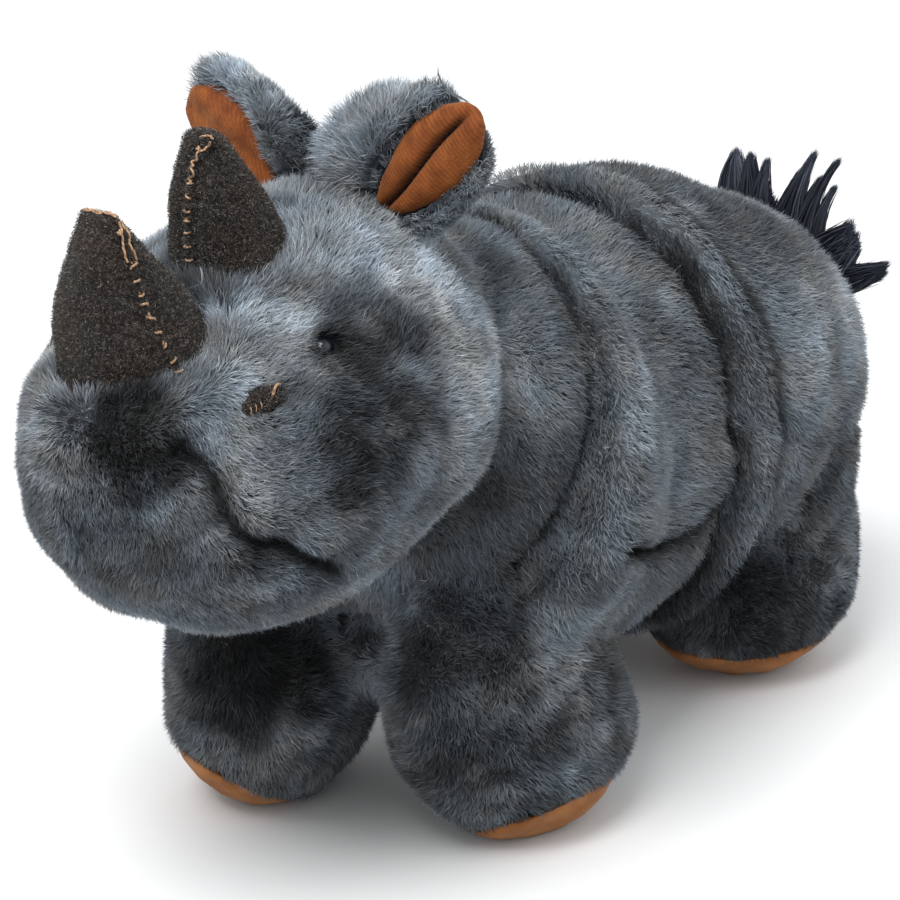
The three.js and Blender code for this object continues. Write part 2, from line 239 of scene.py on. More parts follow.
def off_hem(places):
    """How far each place lies from the sewn hem low on the flank, and how far above it."""
    level = np.interp(-places[:, 0], [-point[0] for point in FLANK_HEM], [point[1] for point in FLANK_HEM])
    away = off_line(places[:, [0, 2]], FLANK_HEM)
    return np.where(abs(places[:, 1]) > 0.03, away, 1.0), places[:, 2] - level


def off_mouth(places):
    """How far each place lies from the mouth's line, how far above it, and how deep the line is there."""
    straight = in_head(places)
    aside = abs(straight[:, 1])
    along = straight[:, 0] * ALONG_MUZZLE[0] + aside * ALONG_MUZZLE[1]
    away = off_line(np.column_stack([along, straight[:, 2]]), MOUTH)
    away[(straight[:, 0] < 0.09) | (aside < 0.014)] = 1.0
    level = np.interp(along, [point[0] for point in MOUTH], [point[1] for point in MOUTH])
    deep = (0.65 + 0.35 * rise(along, -0.083, -0.077)) * (1 - 0.7 * rise(along, -0.060, -0.054))
    return away, straight[:, 2] - level, deep


def middle_of(node):
    low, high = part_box(node)
    return np.array((low + high) / 2)


HORN_FEET = [((0.1290, 0, 0.1400), 0.0185), ((0.0981, 0, 0.1560), 0.0145)]  # in the straight head, how wide


def pile_length(places, region):
    """How long the pile is at each place, from root to tip."""
    if region == "head":
        straight = in_head(places)
        long = 0.0060 - 0.0012 * rise(straight[:, 0], 0.08, 0.14)
        long -= 0.0014 * bump(np.linalg.norm(straight - (0.148, 0.014, 0.127), axis=1), 0, 0.012)
        for foot, reach in HORN_FEET:
            long += 0.0022 * bump(np.linalg.norm(straight - foot, axis=1), reach, 0.005)
        return long
    if region.startswith("leg"):
        return 0.0052 - 0.001 * np.clip((0.04 - places[:, 2]) / 0.03, 0, 1)
    return np.full(len(places), 0.0052)


SET_IN = ["eye_left", "eye_right", "nostril_left", "nostril_right"]  # filled, and smoothed flat again
PLUSH_NODES = ["head"] + TRUNK_NODES + LEG_NODES
skin = cut_from("plush_skin", PLUSH_NODES + SOLE_NODES + SET_IN, 0.0018, 5, swell=0.0006)
group = skin.vertex_groups.new(name="set_in")
places, facing = spots(skin.data)
for node in SET_IN:
    away = np.linalg.norm(places - middle_of(node), axis=1)
    group.add([int(i) for i in np.flatnonzero(away < 0.0095)], 1.0, "REPLACE")
finish_with(skin, "SMOOTH", factor=0.5, iterations=40, vertex_group="set_in")

region_trees = {}
for node in PLUSH_NODES + SOLE_NODES:
    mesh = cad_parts[node].data
    mesh.calc_loop_triangles()
    region_trees[node] = BVHTree.FromPolygons([v.co for v in mesh.vertices], [t.vertices for t in mesh.loop_triangles])
region_names = list(region_trees)


def nearest_region(places):
    """The index of the CAD node whose surface lies nearest to each place."""
    found = np.empty(len(places), int)
    for i, place in enumerate(places):
        gaps = [region_trees[n].find_nearest(place, 0.02)[3] for n in region_names]
        found[i] = min(range(len(gaps)), key=lambda k: gaps[k] if gaps[k] is not None else 1)
    return found


PILE_SHARE = 0.72  # how much of the pile's length lies outside the skin
SOLE_DEPTH = 0.0030  # how far the skin is drawn in over the soles
FOLD_DEPTH = 0.0046  # of the two hand-sewn folds
places, facing = spots(skin.data)
regions = nearest_region(places)
on_head = regions == region_names.index("head")
on_trunk = np.isin(regions, [region_names.index(n) for n in TRUNK_NODES])
depth = np.zeros(len(places))
for number, region in enumerate(region_names):
    here = regions == number
    depth[here] = SOLE_DEPTH if region.startswith("sole") else PILE_SHARE * pile_length(places[here], region)
first, second, third = behind_folds(places)
crease = FOLD_DEPTH * bump(first, 0, 0.0022) + FOLD_DEPTH * bump(second, 0, 0.0022) + 0.0032 * bump(third, 0, 0.0045)
hem, above_hem = off_hem(places)
crease += 0.0028 * bump(hem, 0, 0.0018) - 0.0012 * bump(hem, 0.005, 0.004) * (above_hem > 0)
lips, above_lips, deep = off_mouth(places)
mouth = deep * (0.0034 * bump(lips, 0, 0.0020) - 0.0016 * bump(lips, 0.005, 0.0035) * (above_lips > 0))
sewn = np.where(on_trunk, crease, np.where(on_head, mouth, 0))
stuffing = 0.0007 * waves(places, 0.03, 3) + 0.0004 * waves(places, 0.012, 4)
stuffing[depth == SOLE_DEPTH] = 0
places = places - facing * (depth + sewn + stuffing)[:, None]
places[:, 2] = np.maximum(places[:, 2], 0.0008)
put_spots(skin.data, places)
finish_with(skin, "SMOOTH", factor=0.5, iterations=2)

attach(skin, "root")
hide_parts(*PLUSH_NODES)


# ---- Pile: the fur of the plush, in tufts that follow its lie ----
# Knitted pile of fine polyester, charcoal at the root and silver grey at the tip. It stands on end on the
# nose, is brushed back from there, swirls round the nostrils, runs down the rolls and closes over the folds.
# The pile's colour also carries painted light and shade: darker in the folds, the hem, the mouth's line, round the eyes
# and nostrils and on the legs, and lighter on the brow, the forehead and the rump.
HEAD_STROKES = [
    # place in the straight head, way of the tips, lean in degrees, reach
    [(0.151, 0.002, 0.133), (0.4, 0.0, -0.9), 42, 0.009],  # tuft under the horn
    [(0.148, 0.015, 0.128), (0.1, 0.4, -0.6), 6, 0.012],  # nose pad, on end
    [(0.144, 0.023, 0.122), (-0.2, 0.4, -0.8), 26, 0.009],
    [(0.143, 0.016, 0.136), (-0.6, 0.5, -0.3), 50, 0.009],  # side of the nose
    [(0.132, 0.023, 0.137), (-0.8, 0.6, -0.15), 62, 0.010],  # over the nostril
    [(0.118, 0.026, 0.141), (-0.8, 0.6, 0.05), 64, 0.012],
    [(0.111, 0.020, 0.147), (-0.8, 0.5, 0.15), 62, 0.010],  # brow, combed to the eye
    [(0.108, 0.009, 0.153), (-0.4, 0.5, 0.6), 48, 0.010],  # between the horns and the brow
    [(0.122, 0.035, 0.130), (-0.8, 0.4, 0.4), 58, 0.008],  # behind the nostril
    [(0.125, 0.038, 0.122), (-0.8, 0.6, 0.1), 58, 0.009],  # side of the muzzle
    [(0.129, 0.036, 0.113), (-0.7, 0.6, -0.4), 58, 0.010],
    [(0.124, 0.039, 0.104), (-0.8, 0.4, -0.4), 60, 0.009],  # flap over the mouth
    [(0.115, 0.045, 0.100), (-0.9, 0.2, -0.4), 60, 0.010],
    [(0.144, 0.024, 0.112), (-0.5, 0.1, -0.8), 50, 0.011],  # upper lip
    [(0.137, 0.028, 0.101), (-0.4, 0.1, -0.9), 50, 0.013],  # lower lip
    [(0.152, 0.008, 0.110), (-0.3, 0.1, -0.9), 48, 0.015],  # front of the lips
    [(0.130, 0.015, 0.080), (-0.6, 0.1, -0.6), 55, 0.020],  # chin
    [(0.110, 0.040, 0.135), (0.0, 0.5, -0.8), 30, 0.010],  # under the eye
    [(0.107, 0.050, 0.120), (-0.5, 0.3, -0.8), 34, 0.014],  # cheek
    [(0.119, 0.045, 0.111), (-0.8, 0.4, -0.4), 48, 0.010],
    [(0.095, 0.050, 0.103), (-0.8, 0.1, -0.5), 46, 0.014],  # jaw
    [(0.080, 0.052, 0.123), (-0.9, -0.2, 0.0), 50, 0.014],  # back of the cheek
    [(0.090, 0.019, 0.158), (-0.85, 0.0, 0.45), 46, 0.013],  # crown
    [(0.072, 0.029, 0.153), (-0.95, -0.1, 0.1), 48, 0.018],  # forehead
    [(0.092, 0.036, 0.146), (-0.7, 0.2, 0.6), 32, 0.011],  # temple
    [(0.1130, 0.001, 0.152), (0.1, 0.2, 1.0), 2, 0.0065],  # brushed up between the horns
    [(0.0600, 0.002, 0.163), (0.0, 0.3, 1.0), 4, 0.0090],  # and between the ears
]
SHADES = [
    # place in the straight head, reach, how much lighter or darker, from the pile's brushing and painted light and
    # shade, side (0 is both)
    [(0.151, 0.002, 0.133), 0.007, 1.2, 0],  # tuft under the horn
    [(0.147, 0.016, 0.128), 0.0098, -4.0, 1],  # nose pad, brushed up on the left
    [(0.149, 0.018, 0.121), 0.0070, -3.2, 1],
    [(0.145, 0.011, 0.135), 0.0055, -2.4, 1],
    [(0.146, -0.020, 0.126), 0.0080, -1.0, -1],
    # The brow is painted lighter: partly its brushing, partly painted light where it faces up.
    [(0.113, 0.023, 0.146), 0.011, 1.2, 0],  # brow
    [(0.124, 0.025, 0.140), 0.010, 1.1, 0],
    [(0.135, 0.022, 0.136), 0.008, 0.8, 0],
    [(0.112, 0.006, 0.152), 0.009, -1.5, 0],  # between the horns
    [(0.092, 0.020, 0.158), 0.008, -0.9, 0],
    # Painted shade over the eye, under the brow, and round it in its socket.
    [(0.102, 0.031, 0.147), 0.0060, -2.2, 0],  # over the eye
    [(0.106, 0.0345, 0.1415), 0.0070, -3.6, 0],  # round the eye
    [(0.091, 0.034, 0.147), 0.0062, -1.5, 0],  # temple
    # Painted light on the crown and forehead, partly also their brushing.
    [(0.090, 0.019, 0.158), 0.012, 0.9, 0],  # crown and forehead
    [(0.073, 0.029, 0.154), 0.016, 1.45, 0],
    # Under and behind the eye the pile is darker: partly its brushing, partly painted shade in the hollow.
    [(0.104, 0.040, 0.138), 0.0090, -3.2, 0],  # under and behind the eye
    [(0.093, 0.041, 0.140), 0.0088, -2.6, 0],
    [(0.103, 0.048, 0.129), 0.0105, -2.9, 0],
    [(0.094, 0.050, 0.129), 0.0085, -2.5, 0],
    [(0.111, 0.042, 0.131), 0.0075, -3.2, 0],
    [(0.113, 0.0455, 0.122), 0.0078, -2.8, 0],
    [(0.104, 0.051, 0.118), 0.0075, -2.0, 0],
    [(0.114, 0.047, 0.114), 0.0055, -2.2, 0],
    [(0.079, 0.052, 0.123), 0.012, 1.1, 0],  # back of the cheek
    [(0.127, 0.035, 0.118), 0.010, 0.2, 0],  # side of the muzzle
    [(0.122, 0.036, 0.126), 0.007, 0.2, 0],
    [(0.143, 0.025, 0.100), 0.014, -0.8, 0],  # lower lip
    [(0.127, 0.032, 0.090), 0.014, -0.6, 0],
    [(0.152, 0.008, 0.105), 0.012, -0.8, 0],
]
BODY_SHADES = [
    # place on the toy, reach, how much lighter or darker, from the pile's brushing and painted light and shade, side
    [(0.046, 0.033, 0.124), 0.014, 1.5, 0],  # neck
    [(0.054, 0.040, 0.100), 0.010, -0.5, 0],
    [(0.064, 0.012, 0.066), 0.016, 2.1, 0],  # chest
    [(-0.033, 0.043, 0.114), 0.011, -0.7, 0],  # top of the flank
    [(-0.008, 0.052, 0.087), 0.014, 0.5, 0],
    [(-0.070, 0.034, 0.124), 0.017, -1.3, 0],  # top of the rump
    [(-0.090, 0.030, 0.118), 0.017, -1.2, 0],
    [(-0.075, 0.010, 0.132), 0.020, -1.1, 0],
    # Painted light on the side of the rump.
    [(-0.082, 0.054, 0.092), 0.020, 1.3, 0],  # side of the rump
    [(-0.105, 0.045, 0.085), 0.022, 1.1, 0],
    [(-0.044, 0.057, 0.056), 0.008, 0.6, 0],  # lower end of the rib roll
    [(0.044, 0.051, 0.050), 0.014, 1.1, 1],  # left front leg, rear half
    [(0.032, 0.055, 0.040), 0.010, 0.6, 1],
    [(0.062, 0.045, 0.060), 0.011, -0.9, 1],
    [(0.060, 0.048, 0.032), 0.009, -1.7, 1],
    [(0.070, 0.035, 0.030), 0.011, -0.7, 1],
    # Painted shadow on the right front leg.
    [(0.079, -0.010, 0.047), 0.014, -3.8, -1],  # right front leg
    [(0.083, -0.016, 0.040), 0.013, -3.4, -1],
    [(0.088, -0.029, 0.036), 0.009, 1.6, -1],
    [(0.078, -0.013, 0.018), 0.014, 0.7, -1],
    # Painted shade on the fronts of the rear legs, under the body.
    [(-0.050, 0.038, 0.026), 0.022, -2.2, 0],  # rear legs, in front
    [(-0.066, 0.052, 0.022), 0.016, -1.6, 0],
]
NOSTRIL_OUT = (0.55, 0.60, 0.58)  # out of the head, at the left nostril
nostril_place = in_head(middle_of("nostril_left"))[0]
CLEAR_OF_FLOOR = 0.0004
STRAY = 0.06  # how much of the pile strays from its tuft, longer and paler
TUFT_SIZES = ((0.0075, 0.12), (0.0022, 0.26))  # how wide the pile's tufts are, and how far drawn together


def unit(ways):
    return ways / np.maximum(np.linalg.norm(ways, axis=1), 1e-9)[:, None]


def drift(places, size, seed):
    """Three smooth chance values at each place, as a way to stray in."""
    return np.stack([waves(places, size, seed + k) for k in range(3)], 1)


def patchy(places, shades):
    """How much lighter or darker the pile is, in patches with ragged edges: partly its brushing, partly painted light
    and shade.
    """
    ragged = places + 0.0016 * drift(places, 0.007, 17)
    lighter = np.zeros(len(places))
    darker = np.zeros(len(places))
    for place, reach, amount, side in shades:
        spot = ragged if side else np.column_stack([ragged[:, 0], abs(ragged[:, 1]), ragged[:, 2]])
        middle = np.array(place)
        near = amount * np.exp(-(((spot - middle) ** 2).sum(1) / reach**2) ** 2)
        lighter = np.maximum(lighter, near)
        darker = np.minimum(darker, near)
    return lighter + darker


def comb_head(places):
    """The way and lean of the pile on the head, and how light it is: partly its brushing, partly painted light and
    shade.
    """
    straight = in_head(places)
    side = np.where(straight[:, 1] < 0, -1.0, 1.0)
    straight[:, 1] = abs(straight[:, 1])
    weight = np.full(len(places), 0.1)  # of the pile between the strokes, which runs back at 45 degrees
    way = weight[:, None] * (-1.0, 0.0, -0.3)
    lean = weight * 45
    for place, stroke, tilt, reach in HEAD_STROKES:
        near = np.exp(-((straight - place) ** 2).sum(1) / reach**2)
        way += near[:, None] * unit(np.array([stroke]))
        lean += near * tilt
        weight += near
    arm = straight - nostril_place
    round_nostril = np.cross(NOSTRIL_OUT, arm)
    away = np.linalg.norm(arm, axis=1)
    low = np.clip(0.3 - (arm @ np.array([0.1, 0.0, 1.0])) / np.maximum(away, 1e-6), 0, 1)
    near = 3.0 * low * bump(away, 0.013, 0.010)
    way += near[:, None] * unit(round_nostril)
    lean += near * 62
    weight += near
    # Painted shade round the nostril.
    shade = patchy(in_head(places), SHADES) - 1.4 * bump(away, 0.0015, 0.0040)
    lips, above_lips, deep = off_mouth(places)
    # A little lighter on the flap over the mouth, and painted shade in the mouth's line and under the flap.
    shade += deep * 0.5 * bump(lips, 0.005, 0.003) * (above_lips > 0.001)
    shade -= deep * (3.0 * bump(lips, 0.0, 0.0020) + 1.4 * bump(lips, 0.002, 0.003) * (above_lips < 0))
    way[:, 1] *= side
    lean = lean / weight
    way = unit(way)
    for foot, reach in HORN_FEET:
        arm = np.array(foot) - in_head(places)
        ring = bump(np.linalg.norm(arm, axis=1), reach, 0.0035)
        way += 1.4 * ring[:, None] * unit(arm)
        lean *= 1 - 0.45 * ring
    rough = np.clip(-shade / 3, 0, 1)
    way = unit(way) + 0.6 * rough[:, None] * drift(places, 0.005, 35)
    shade += (0.35 + 0.75 * rough) * waves(places, 0.0042, 29)
    mess = 0.26 + 0.3 * rough + 0.10 * rise(-straight[:, 0], -0.11, -0.09)
    return out_of_head(way), lean - 8 * rough, shade, mess


def comb_trunk(places):
    """Back and down over the panels, and down along the rolls beside the folds."""
    way = np.tile([-0.75, 0.0, -0.5], (len(places), 1))
    aside = rise(abs(places[:, 1]), 0.010, 0.034) * np.sign(places[:, 1])
    down = np.column_stack([-0.15 - 0.6 * (1 - abs(aside)), 0.8 * aside, -abs(aside)])
    lean = np.full(len(places), 42.0)
    mess = np.full(len(places), 0.26)
    shade = np.zeros(len(places))
    for fold, strength in zip(behind_folds(places), (1.0, 1.0, 0.45)):
        roll = rise(fold, 0.0028, 0.0050) * (1 - rise(fold, 0.009, 0.016))
        before = rise(fold, -0.012, -0.002) * (1 - rise(fold, -0.0005, 0.0005))
        beside = strength * rise(fold, -0.013, -0.004) * (1 - rise(fold, 0.009, 0.017))
        way += beside[:, None] * (down - way)
        lean += 7 * beside
        mess *= 1 - 0.5 * beside
        # Painted shade in each fold and on the panel before it, and a little lighter on the roll behind it, partly
        # painted light.
        shade += strength * (0.3 * roll - 1.7 * before - 6.0 * bump(fold, 0.0014, 0.0019))
    hem, above_hem = off_hem(places)
    close = bump(hem, 0.002, 0.0025)
    way[:, 2] += 2.0 * close * np.sign(above_hem)
    # Painted shade in the hem, and a little lighter just above it.
    shade += 0.3 * bump(hem, 0.005, 0.004) * (above_hem > 0) - 5.0 * bump(hem, 0, 0.0018)
    return way, lean, shade + patchy(places, BODY_SHADES) - 0.8, mess


def comb_legs(places):
    way = np.tile([-0.15, 0.0, -1.0], (len(places), 1))
    shade = patchy(places, BODY_SHADES) + 0.4 * waves(places, 0.013, 20) + 0.5 * waves(places, 0.0055, 28)
    lean = 30 + 22 * rise(-places[:, 2], -0.020, -0.006)
    # The legs are painted darker all over: painted shade under the body.
    return way, lean, shade - 0.95, np.full(len(places), 0.85)


def comb(places, region):
    """The tips' way, lean in radians, and the pile's shade at each place: its brushing and painted light and shade."""
    combing = comb_head if region == "head" else comb_trunk if region in TRUNK_NODES else comb_legs
    way, lean, shade, mess = combing(places)
    way = unit(way) + mess[:, None] * (drift(places, 0.016, 11) + 0.6 * drift(places, 0.005, 41))
    lean = np.clip(lean + 8 * waves(places, 0.009, 14), 6, 72)
    shade = shade + 0.30 * waves(places, 0.026, 15) + 0.45 * waves(places, 0.010, 16) + 0.2 * waves(places, 0.004, 38)
    return way, np.radians(lean), shade


LONG_TUFTS = [
    # place on the toy, reach, extra length
    [(0.1130, -0.003, 0.1518), 0.0065, 0.0042],  # brushed up between the horns
    [(0.0600, 0.000, 0.1630), 0.0100, 0.0035],  # between the ears
    [(-0.1250, 0.044, 0.0920), 0.0120, 0.0016],  # beside the end of the tail
]


def cropped(places, region):
    """Pile length of the coat, shorter where a fold or the hem pinches the plush."""
    long = pile_length(places, region)
    for place, reach, extra in LONG_TUFTS:
        long = long + extra * bump(np.linalg.norm(places - place, axis=1), 0, reach)
    if region in TRUNK_NODES:
        first, second, _ = behind_folds(places)
        pinched = np.maximum(bump(first, 0.0006, 0.0025), bump(second, 0.0006, 0.0025))
        long = long * (1 - 0.72 * np.maximum(pinched, bump(off_hem(places)[0], 0, 0.0017)))
    return long


def painted_fold_shade(tips, region):
    """Painted shade on the pile where its tips close over a fold, the hem or the mouth."""
    if region == "head":
        lips, _, deep = off_mouth(tips)
        return -3.6 * deep * bump(lips, 0, 0.0012)
    if region not in TRUNK_NODES:
        return np.zeros(len(tips))
    first, second, third = behind_folds(tips)
    closed = np.maximum(bump(first, 0.0026, 0.0013), bump(second, 0.0023, 0.0012))
    return -7.0 * np.maximum(closed, bump(off_hem(tips)[0], 0, 0.0011)) - 1.4 * bump(third, 0, 0.0016)


def by_place(places, triangles):
    """The order of triangles, and of the corners in each, by place: edit mode lists them anew in each run."""
    rank = np.argsort(np.lexsort(places.T))[triangles]
    return np.lexsort(np.sort(rank, 1).T), rank.argsort(1)


def scatter(backing, count, draw, in_order=False):
    """`count` even random roots on a mesh: their places, facing and unwrapped places."""
    mesh = backing.data
    mesh.calc_loop_triangles()
    triangles = rows_of(mesh.loop_triangles, "vertices", 3, int)
    corners = rows_of(mesh.loop_triangles, "loops", 3, int)
    unwrapped = rows_of(mesh.uv_layers.active.data, "uv", 2)
    places, facing = spots(mesh)
    if in_order:
        order, turned = by_place(places, triangles)
        triangles, corners = (np.take_along_axis(part, turned, 1)[order] for part in (triangles, corners))
    a, b, c = (places[triangles[:, k]] for k in range(3))
    area = np.linalg.norm(np.cross(b - a, c - a), axis=1) / 2
    steps = np.cumsum(area)
    picks = (np.arange(count) + draw.random(count)) / count * steps[-1]
    chosen = np.minimum(np.searchsorted(steps, picks), len(steps) - 1)
    share = draw.random((count, 2))
    share[share.sum(1) > 1] = 1 - share[share.sum(1) > 1]
    share = np.column_stack([1 - share.sum(1), share])[:, :, None]
    roots = (places[triangles[chosen]] * share).sum(1)
    outward = unit((facing[triangles[chosen]] * share).sum(1))
    return roots, outward, (unwrapped[corners[chosen]] * share).sum(1)


def mark(mesh, name, values):
    """Keeps one value for each corner of a mesh, for its material to read."""
    mesh.attributes.new(name, "FLOAT", "POINT").data.foreach_set("value", values.astype(np.float32))


def ribbons(name, lines, widths, across, spots_on_unwrap, marks, root_height=0.0):
    """One mesh of thin ribbons. Each follows its line of points, pointed at its root and its tip."""
    count, rows, _ = lines.shape
    wide = across[:, None, :] * widths[:, 1:-1, None] / 2
    pairs = np.stack([lines[:, 1:-1] - wide, lines[:, 1:-1] + wide], 2).reshape(count, 2 * (rows - 2), 3)
    points = np.concatenate([lines[:, :1], pairs, lines[:, -1:]], 1)
    points[:, :, 2] = np.maximum(points[:, :, 2], CLEAR_OF_FLOOR)
    per = 2 * rows - 2
    faces = [(0, 2, 1)]
    for row in range(rows - 3):
        k = 2 * row + 1
        faces += [(k, k + 1, k + 3), (k, k + 3, k + 2)]
    faces.append((per - 3, per - 2, per - 1))
    faces = np.array(faces)
    index = (np.arange(count)[:, None, None] * per + faces).reshape(-1)
    mesh = bpy.data.meshes.new(name)
    mesh.vertices.add(count * per)
    mesh.vertices.foreach_set("co", points.astype(np.float32).ravel())
    mesh.loops.add(len(index))
    mesh.loops.foreach_set("vertex_index", index.astype(np.int32))
    mesh.polygons.add(len(index) // 3)
    mesh.polygons.foreach_set("loop_start", np.arange(0, len(index), 3, dtype=np.int32))
    mesh.update(calc_edges=True)
    up = np.concatenate([[0.0], np.repeat(np.linspace(0, 1, rows)[1:-1], 2), [1.0]])
    sideways = np.concatenate([[0.0], np.tile([-1.0, 1.0], rows - 2), [0.0]])
    patch = 0.0015 * np.column_stack([sideways, 2 * up - 1])
    unwrapped = spots_on_unwrap[:, None, :] + patch
    layer = mesh.uv_layers.new(name="OFBake")
    layer.data.foreach_set("uv", unwrapped.reshape(-1, 2)[index].astype(np.float32).ravel())
    mark(mesh, "up_the_pile", np.tile(root_height + (1 - root_height) * up, count))
    for key, values in marks.items():
        mark(mesh, key, np.repeat(values, per))
    made = bpy.data.objects.new(name, mesh)
    bpy.context.scene.collection.objects.link(made)
    return made


def gathered(points, places, size, seed, amount):
    """The points drawn together towards the middles of irregular tufts, each about `size` across."""
    warped = places + size * 0.45 * drift(places, 1.7 * size, seed)
    cells = np.floor(warped / size).astype(int)
    _, tuft = np.unique(cells, axis=0, return_inverse=True)
    tuft = tuft.ravel()
    sizes = np.bincount(tuft)
    middles = np.stack([np.bincount(tuft, points[:, k]) / sizes for k in range(3)], 1)
    return points + amount * (middles[tuft] - points)


def lay_pile(name, backing, count, combing, length, width, contrast, root_height, seed, kept=None, region=None):
    """A coat piece: `count` tufts of pile on the backing, combed, bent and gathered."""
    draw = np.random.default_rng(seed)
    roots, outward, unwrapped = scatter(backing, count, draw)
    way, lean, shade = combing(roots)
    stray = draw.random(count) < STRAY
    length = length(roots) * draw.uniform(0.72, 1.12, count) * np.where(stray, 1.12, 1)
    lean = np.clip(lean + np.radians(9) * draw.normal(size=count), 0, 1.35)
    flow = way - outward * (way * outward).sum(1)[:, None]
    flow = unit(unit(flow) + np.where(stray, 0.8, 0.42)[:, None] * draw.normal(size=(count, 3)))
    flow = unit(flow - outward * (flow * outward).sum(1)[:, None])

    def along(angle):
        return outward * np.cos(angle)[:, None] + flow * np.sin(angle)[:, None]

    middle = roots + 0.5 * length[:, None] * along(0.6 * lean)
    frizz = 0.3 * draw.normal(size=(count, 3))
    tip = middle + 0.5 * length[:, None] * unit(along(np.minimum(1.35 * lean, 1.4)) + frizz)
    for size, amount in TUFT_SIZES:
        tip = gathered(tip, roots, size, seed + int(1e4 * size), amount)
        middle = gathered(middle, roots, size, seed + int(1e4 * size), 0.4 * amount)
    # Painted shade where the tips close over a fold, the hem or the mouth.
    shade = shade + 0.9 * np.clip(-shade / 3, 0, 1) * draw.normal(size=count) + painted_fold_shade(tip, region)
    lines = np.stack([roots, middle, tip], 1)
    across = unit(unit(np.cross(unit(tip - roots), outward)) + 0.45 * draw.normal(size=(count, 3)))
    widths = width * draw.uniform(0.75, 1.25, count)[:, None] * np.array([0.0, 1.0, 0.0])
    tone = contrast * draw.normal(size=count) + np.where(stray, 3.0, 0)
    keep = np.ones(count, bool) if kept is None else kept(roots, middle, tip)
    made = ribbons(name, lines[keep], widths[keep], across[keep], unwrapped[keep],
                   {"tone": tone[keep], "brushed_and_painted_light": shade[keep]}, root_height)
    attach(made, "root")
    made.data.materials.append(plush)
    return made


def add_node(tree, kind, sockets=None, **settings):
    """Adds a node with these settings and sockets to a material or a node group."""
    node = tree.nodes.new("ShaderNode" + kind)
    for key, value in settings.items():
        setattr(node, key, value)
    connect(tree, node, sockets or {})
    return node


def noise(tree, scale, detail, roughness=0.5, distortion=0.0):
    """A chance value that changes over the piece, in patches a metre over `scale` across."""
    given = {"Vector": add_node(tree, "TexCoord").outputs["Object"], "Scale": scale, "Detail": detail,
             "Roughness": roughness, "Distortion": distortion}
    return add_node(tree, "TexNoise", given).outputs["Fac"]


def ramp(tree, driver, *stops):
    """A colour that runs through these stops, each a position and a colour, as the driver rises."""
    node = add_node(tree, "ValToRGB", {"Fac": driver})
    elements = node.color_ramp.elements
    for element, (position, colour) in zip(elements, (stops[0], stops[-1])):
        element.position = position
        element.color = (*colour, 1)
    for position, colour in stops[1:-1]:
        elements.new(position).color = (*colour, 1)
    return node.outputs["Color"]


def marked(tree, name):
    """The value that the mesh keeps under this name."""
    return add_node(tree, "Attribute", attribute_name=name).outputs["Fac"]


def reckon(tree, operation, *values):
    return add_node(tree, "Math", dict(enumerate(values)), operation=operation).outputs[0]


def times(tree, colour, amount):
    return add_node(tree, "VectorMath", {0: colour, "Scale": amount}, operation="SCALE").outputs[0]


def tinted(tree, colour, tint):
    sockets = {"Factor": 1, 6: colour, 7: tint}
    return add_node(tree, "Mix", sockets, data_type="RGBA", blend_type="MULTIPLY").outputs[2]


def pile_colour():
    """Charcoal at the root, silver grey at the tip, and the same in the coat and on the backing under it."""
    tree = bpy.data.node_groups.new("pile_colour", "ShaderNodeTree")
    for name, value in (("Height", 1.0), ("Tone", 0.0), ("Brushed_and_painted_light", 0.0)):
        tree.interface.new_socket(name, in_out="INPUT", socket_type="NodeSocketFloat").default_value = value
    tree.interface.new_socket("Color", in_out="OUTPUT", socket_type="NodeSocketColor")
    given = tree.nodes.new("NodeGroupInput").outputs
    fibre = ramp(tree, given["Height"], (0, (0.0075, 0.0088, 0.0105)), (0.45, (0.045, 0.0515, 0.0585)),
                 (1, (0.163, 0.181, 0.200)))
    cast = ramp(tree, noise(tree, 70, 4), (0.36, (1.0, 0.94, 0.87)), (0.62, (0.93, 0.985, 1.03)))
    # The pile's brushing and its painted light and shade make it lighter or darker.
    brushed_and_painted_light = reckon(tree, "MULTIPLY", given["Brushed_and_painted_light"], 0.75)
    light = reckon(tree, "POWER", 2, reckon(tree, "MULTIPLY_ADD", given["Tone"], 0.18, brushed_and_painted_light))
    connect(tree, tree.nodes.new("NodeGroupOutput"), {"Color": times(tree, tinted(tree, fibre, cast), light)})
    return tree


def plush_material():
    finish, tree, surface = new_finish("plush_pile")
    marks = {"Height": marked(tree, "up_the_pile"), "Tone": marked(tree, "tone"), "Brushed_and_painted_light": marked(tree, "brushed_and_painted_light")}
    colour = add_node(tree, "Group", node_tree=pile_colour())
    connect(tree, colour, marks)
    connect(tree, surface, {"Base Color": colour.outputs["Color"], "Roughness": 0.7, "Specular IOR Level": 0.15,
                            "Sheen Weight": 0.05, "Sheen Roughness": 0.4})
    return finish


def colour_backing(piece, height, brushed_and_painted_light):
    """Gives a backing the pile's colour at this height, and the coat's brushing with its painted light and shade."""
    for name, values in (("up_the_pile", height), ("brushed_and_painted_light", brushed_and_painted_light), ("tone", 0 * brushed_and_painted_light)):
        mark(piece.data, name, values)
    piece.data.materials.append(plush)


plush = plush_material()
places, facing = spots(skin.data)
brushed_and_painted_light = np.zeros(len(places))
for number, region in enumerate(region_names):
    here = regions == number
    brushed_and_painted_light[here] = comb(places[here], region)[2]
colour_backing(skin, np.where(on_head, 0.22, np.where(on_trunk, 0.60, 0.42)), brushed_and_painted_light)


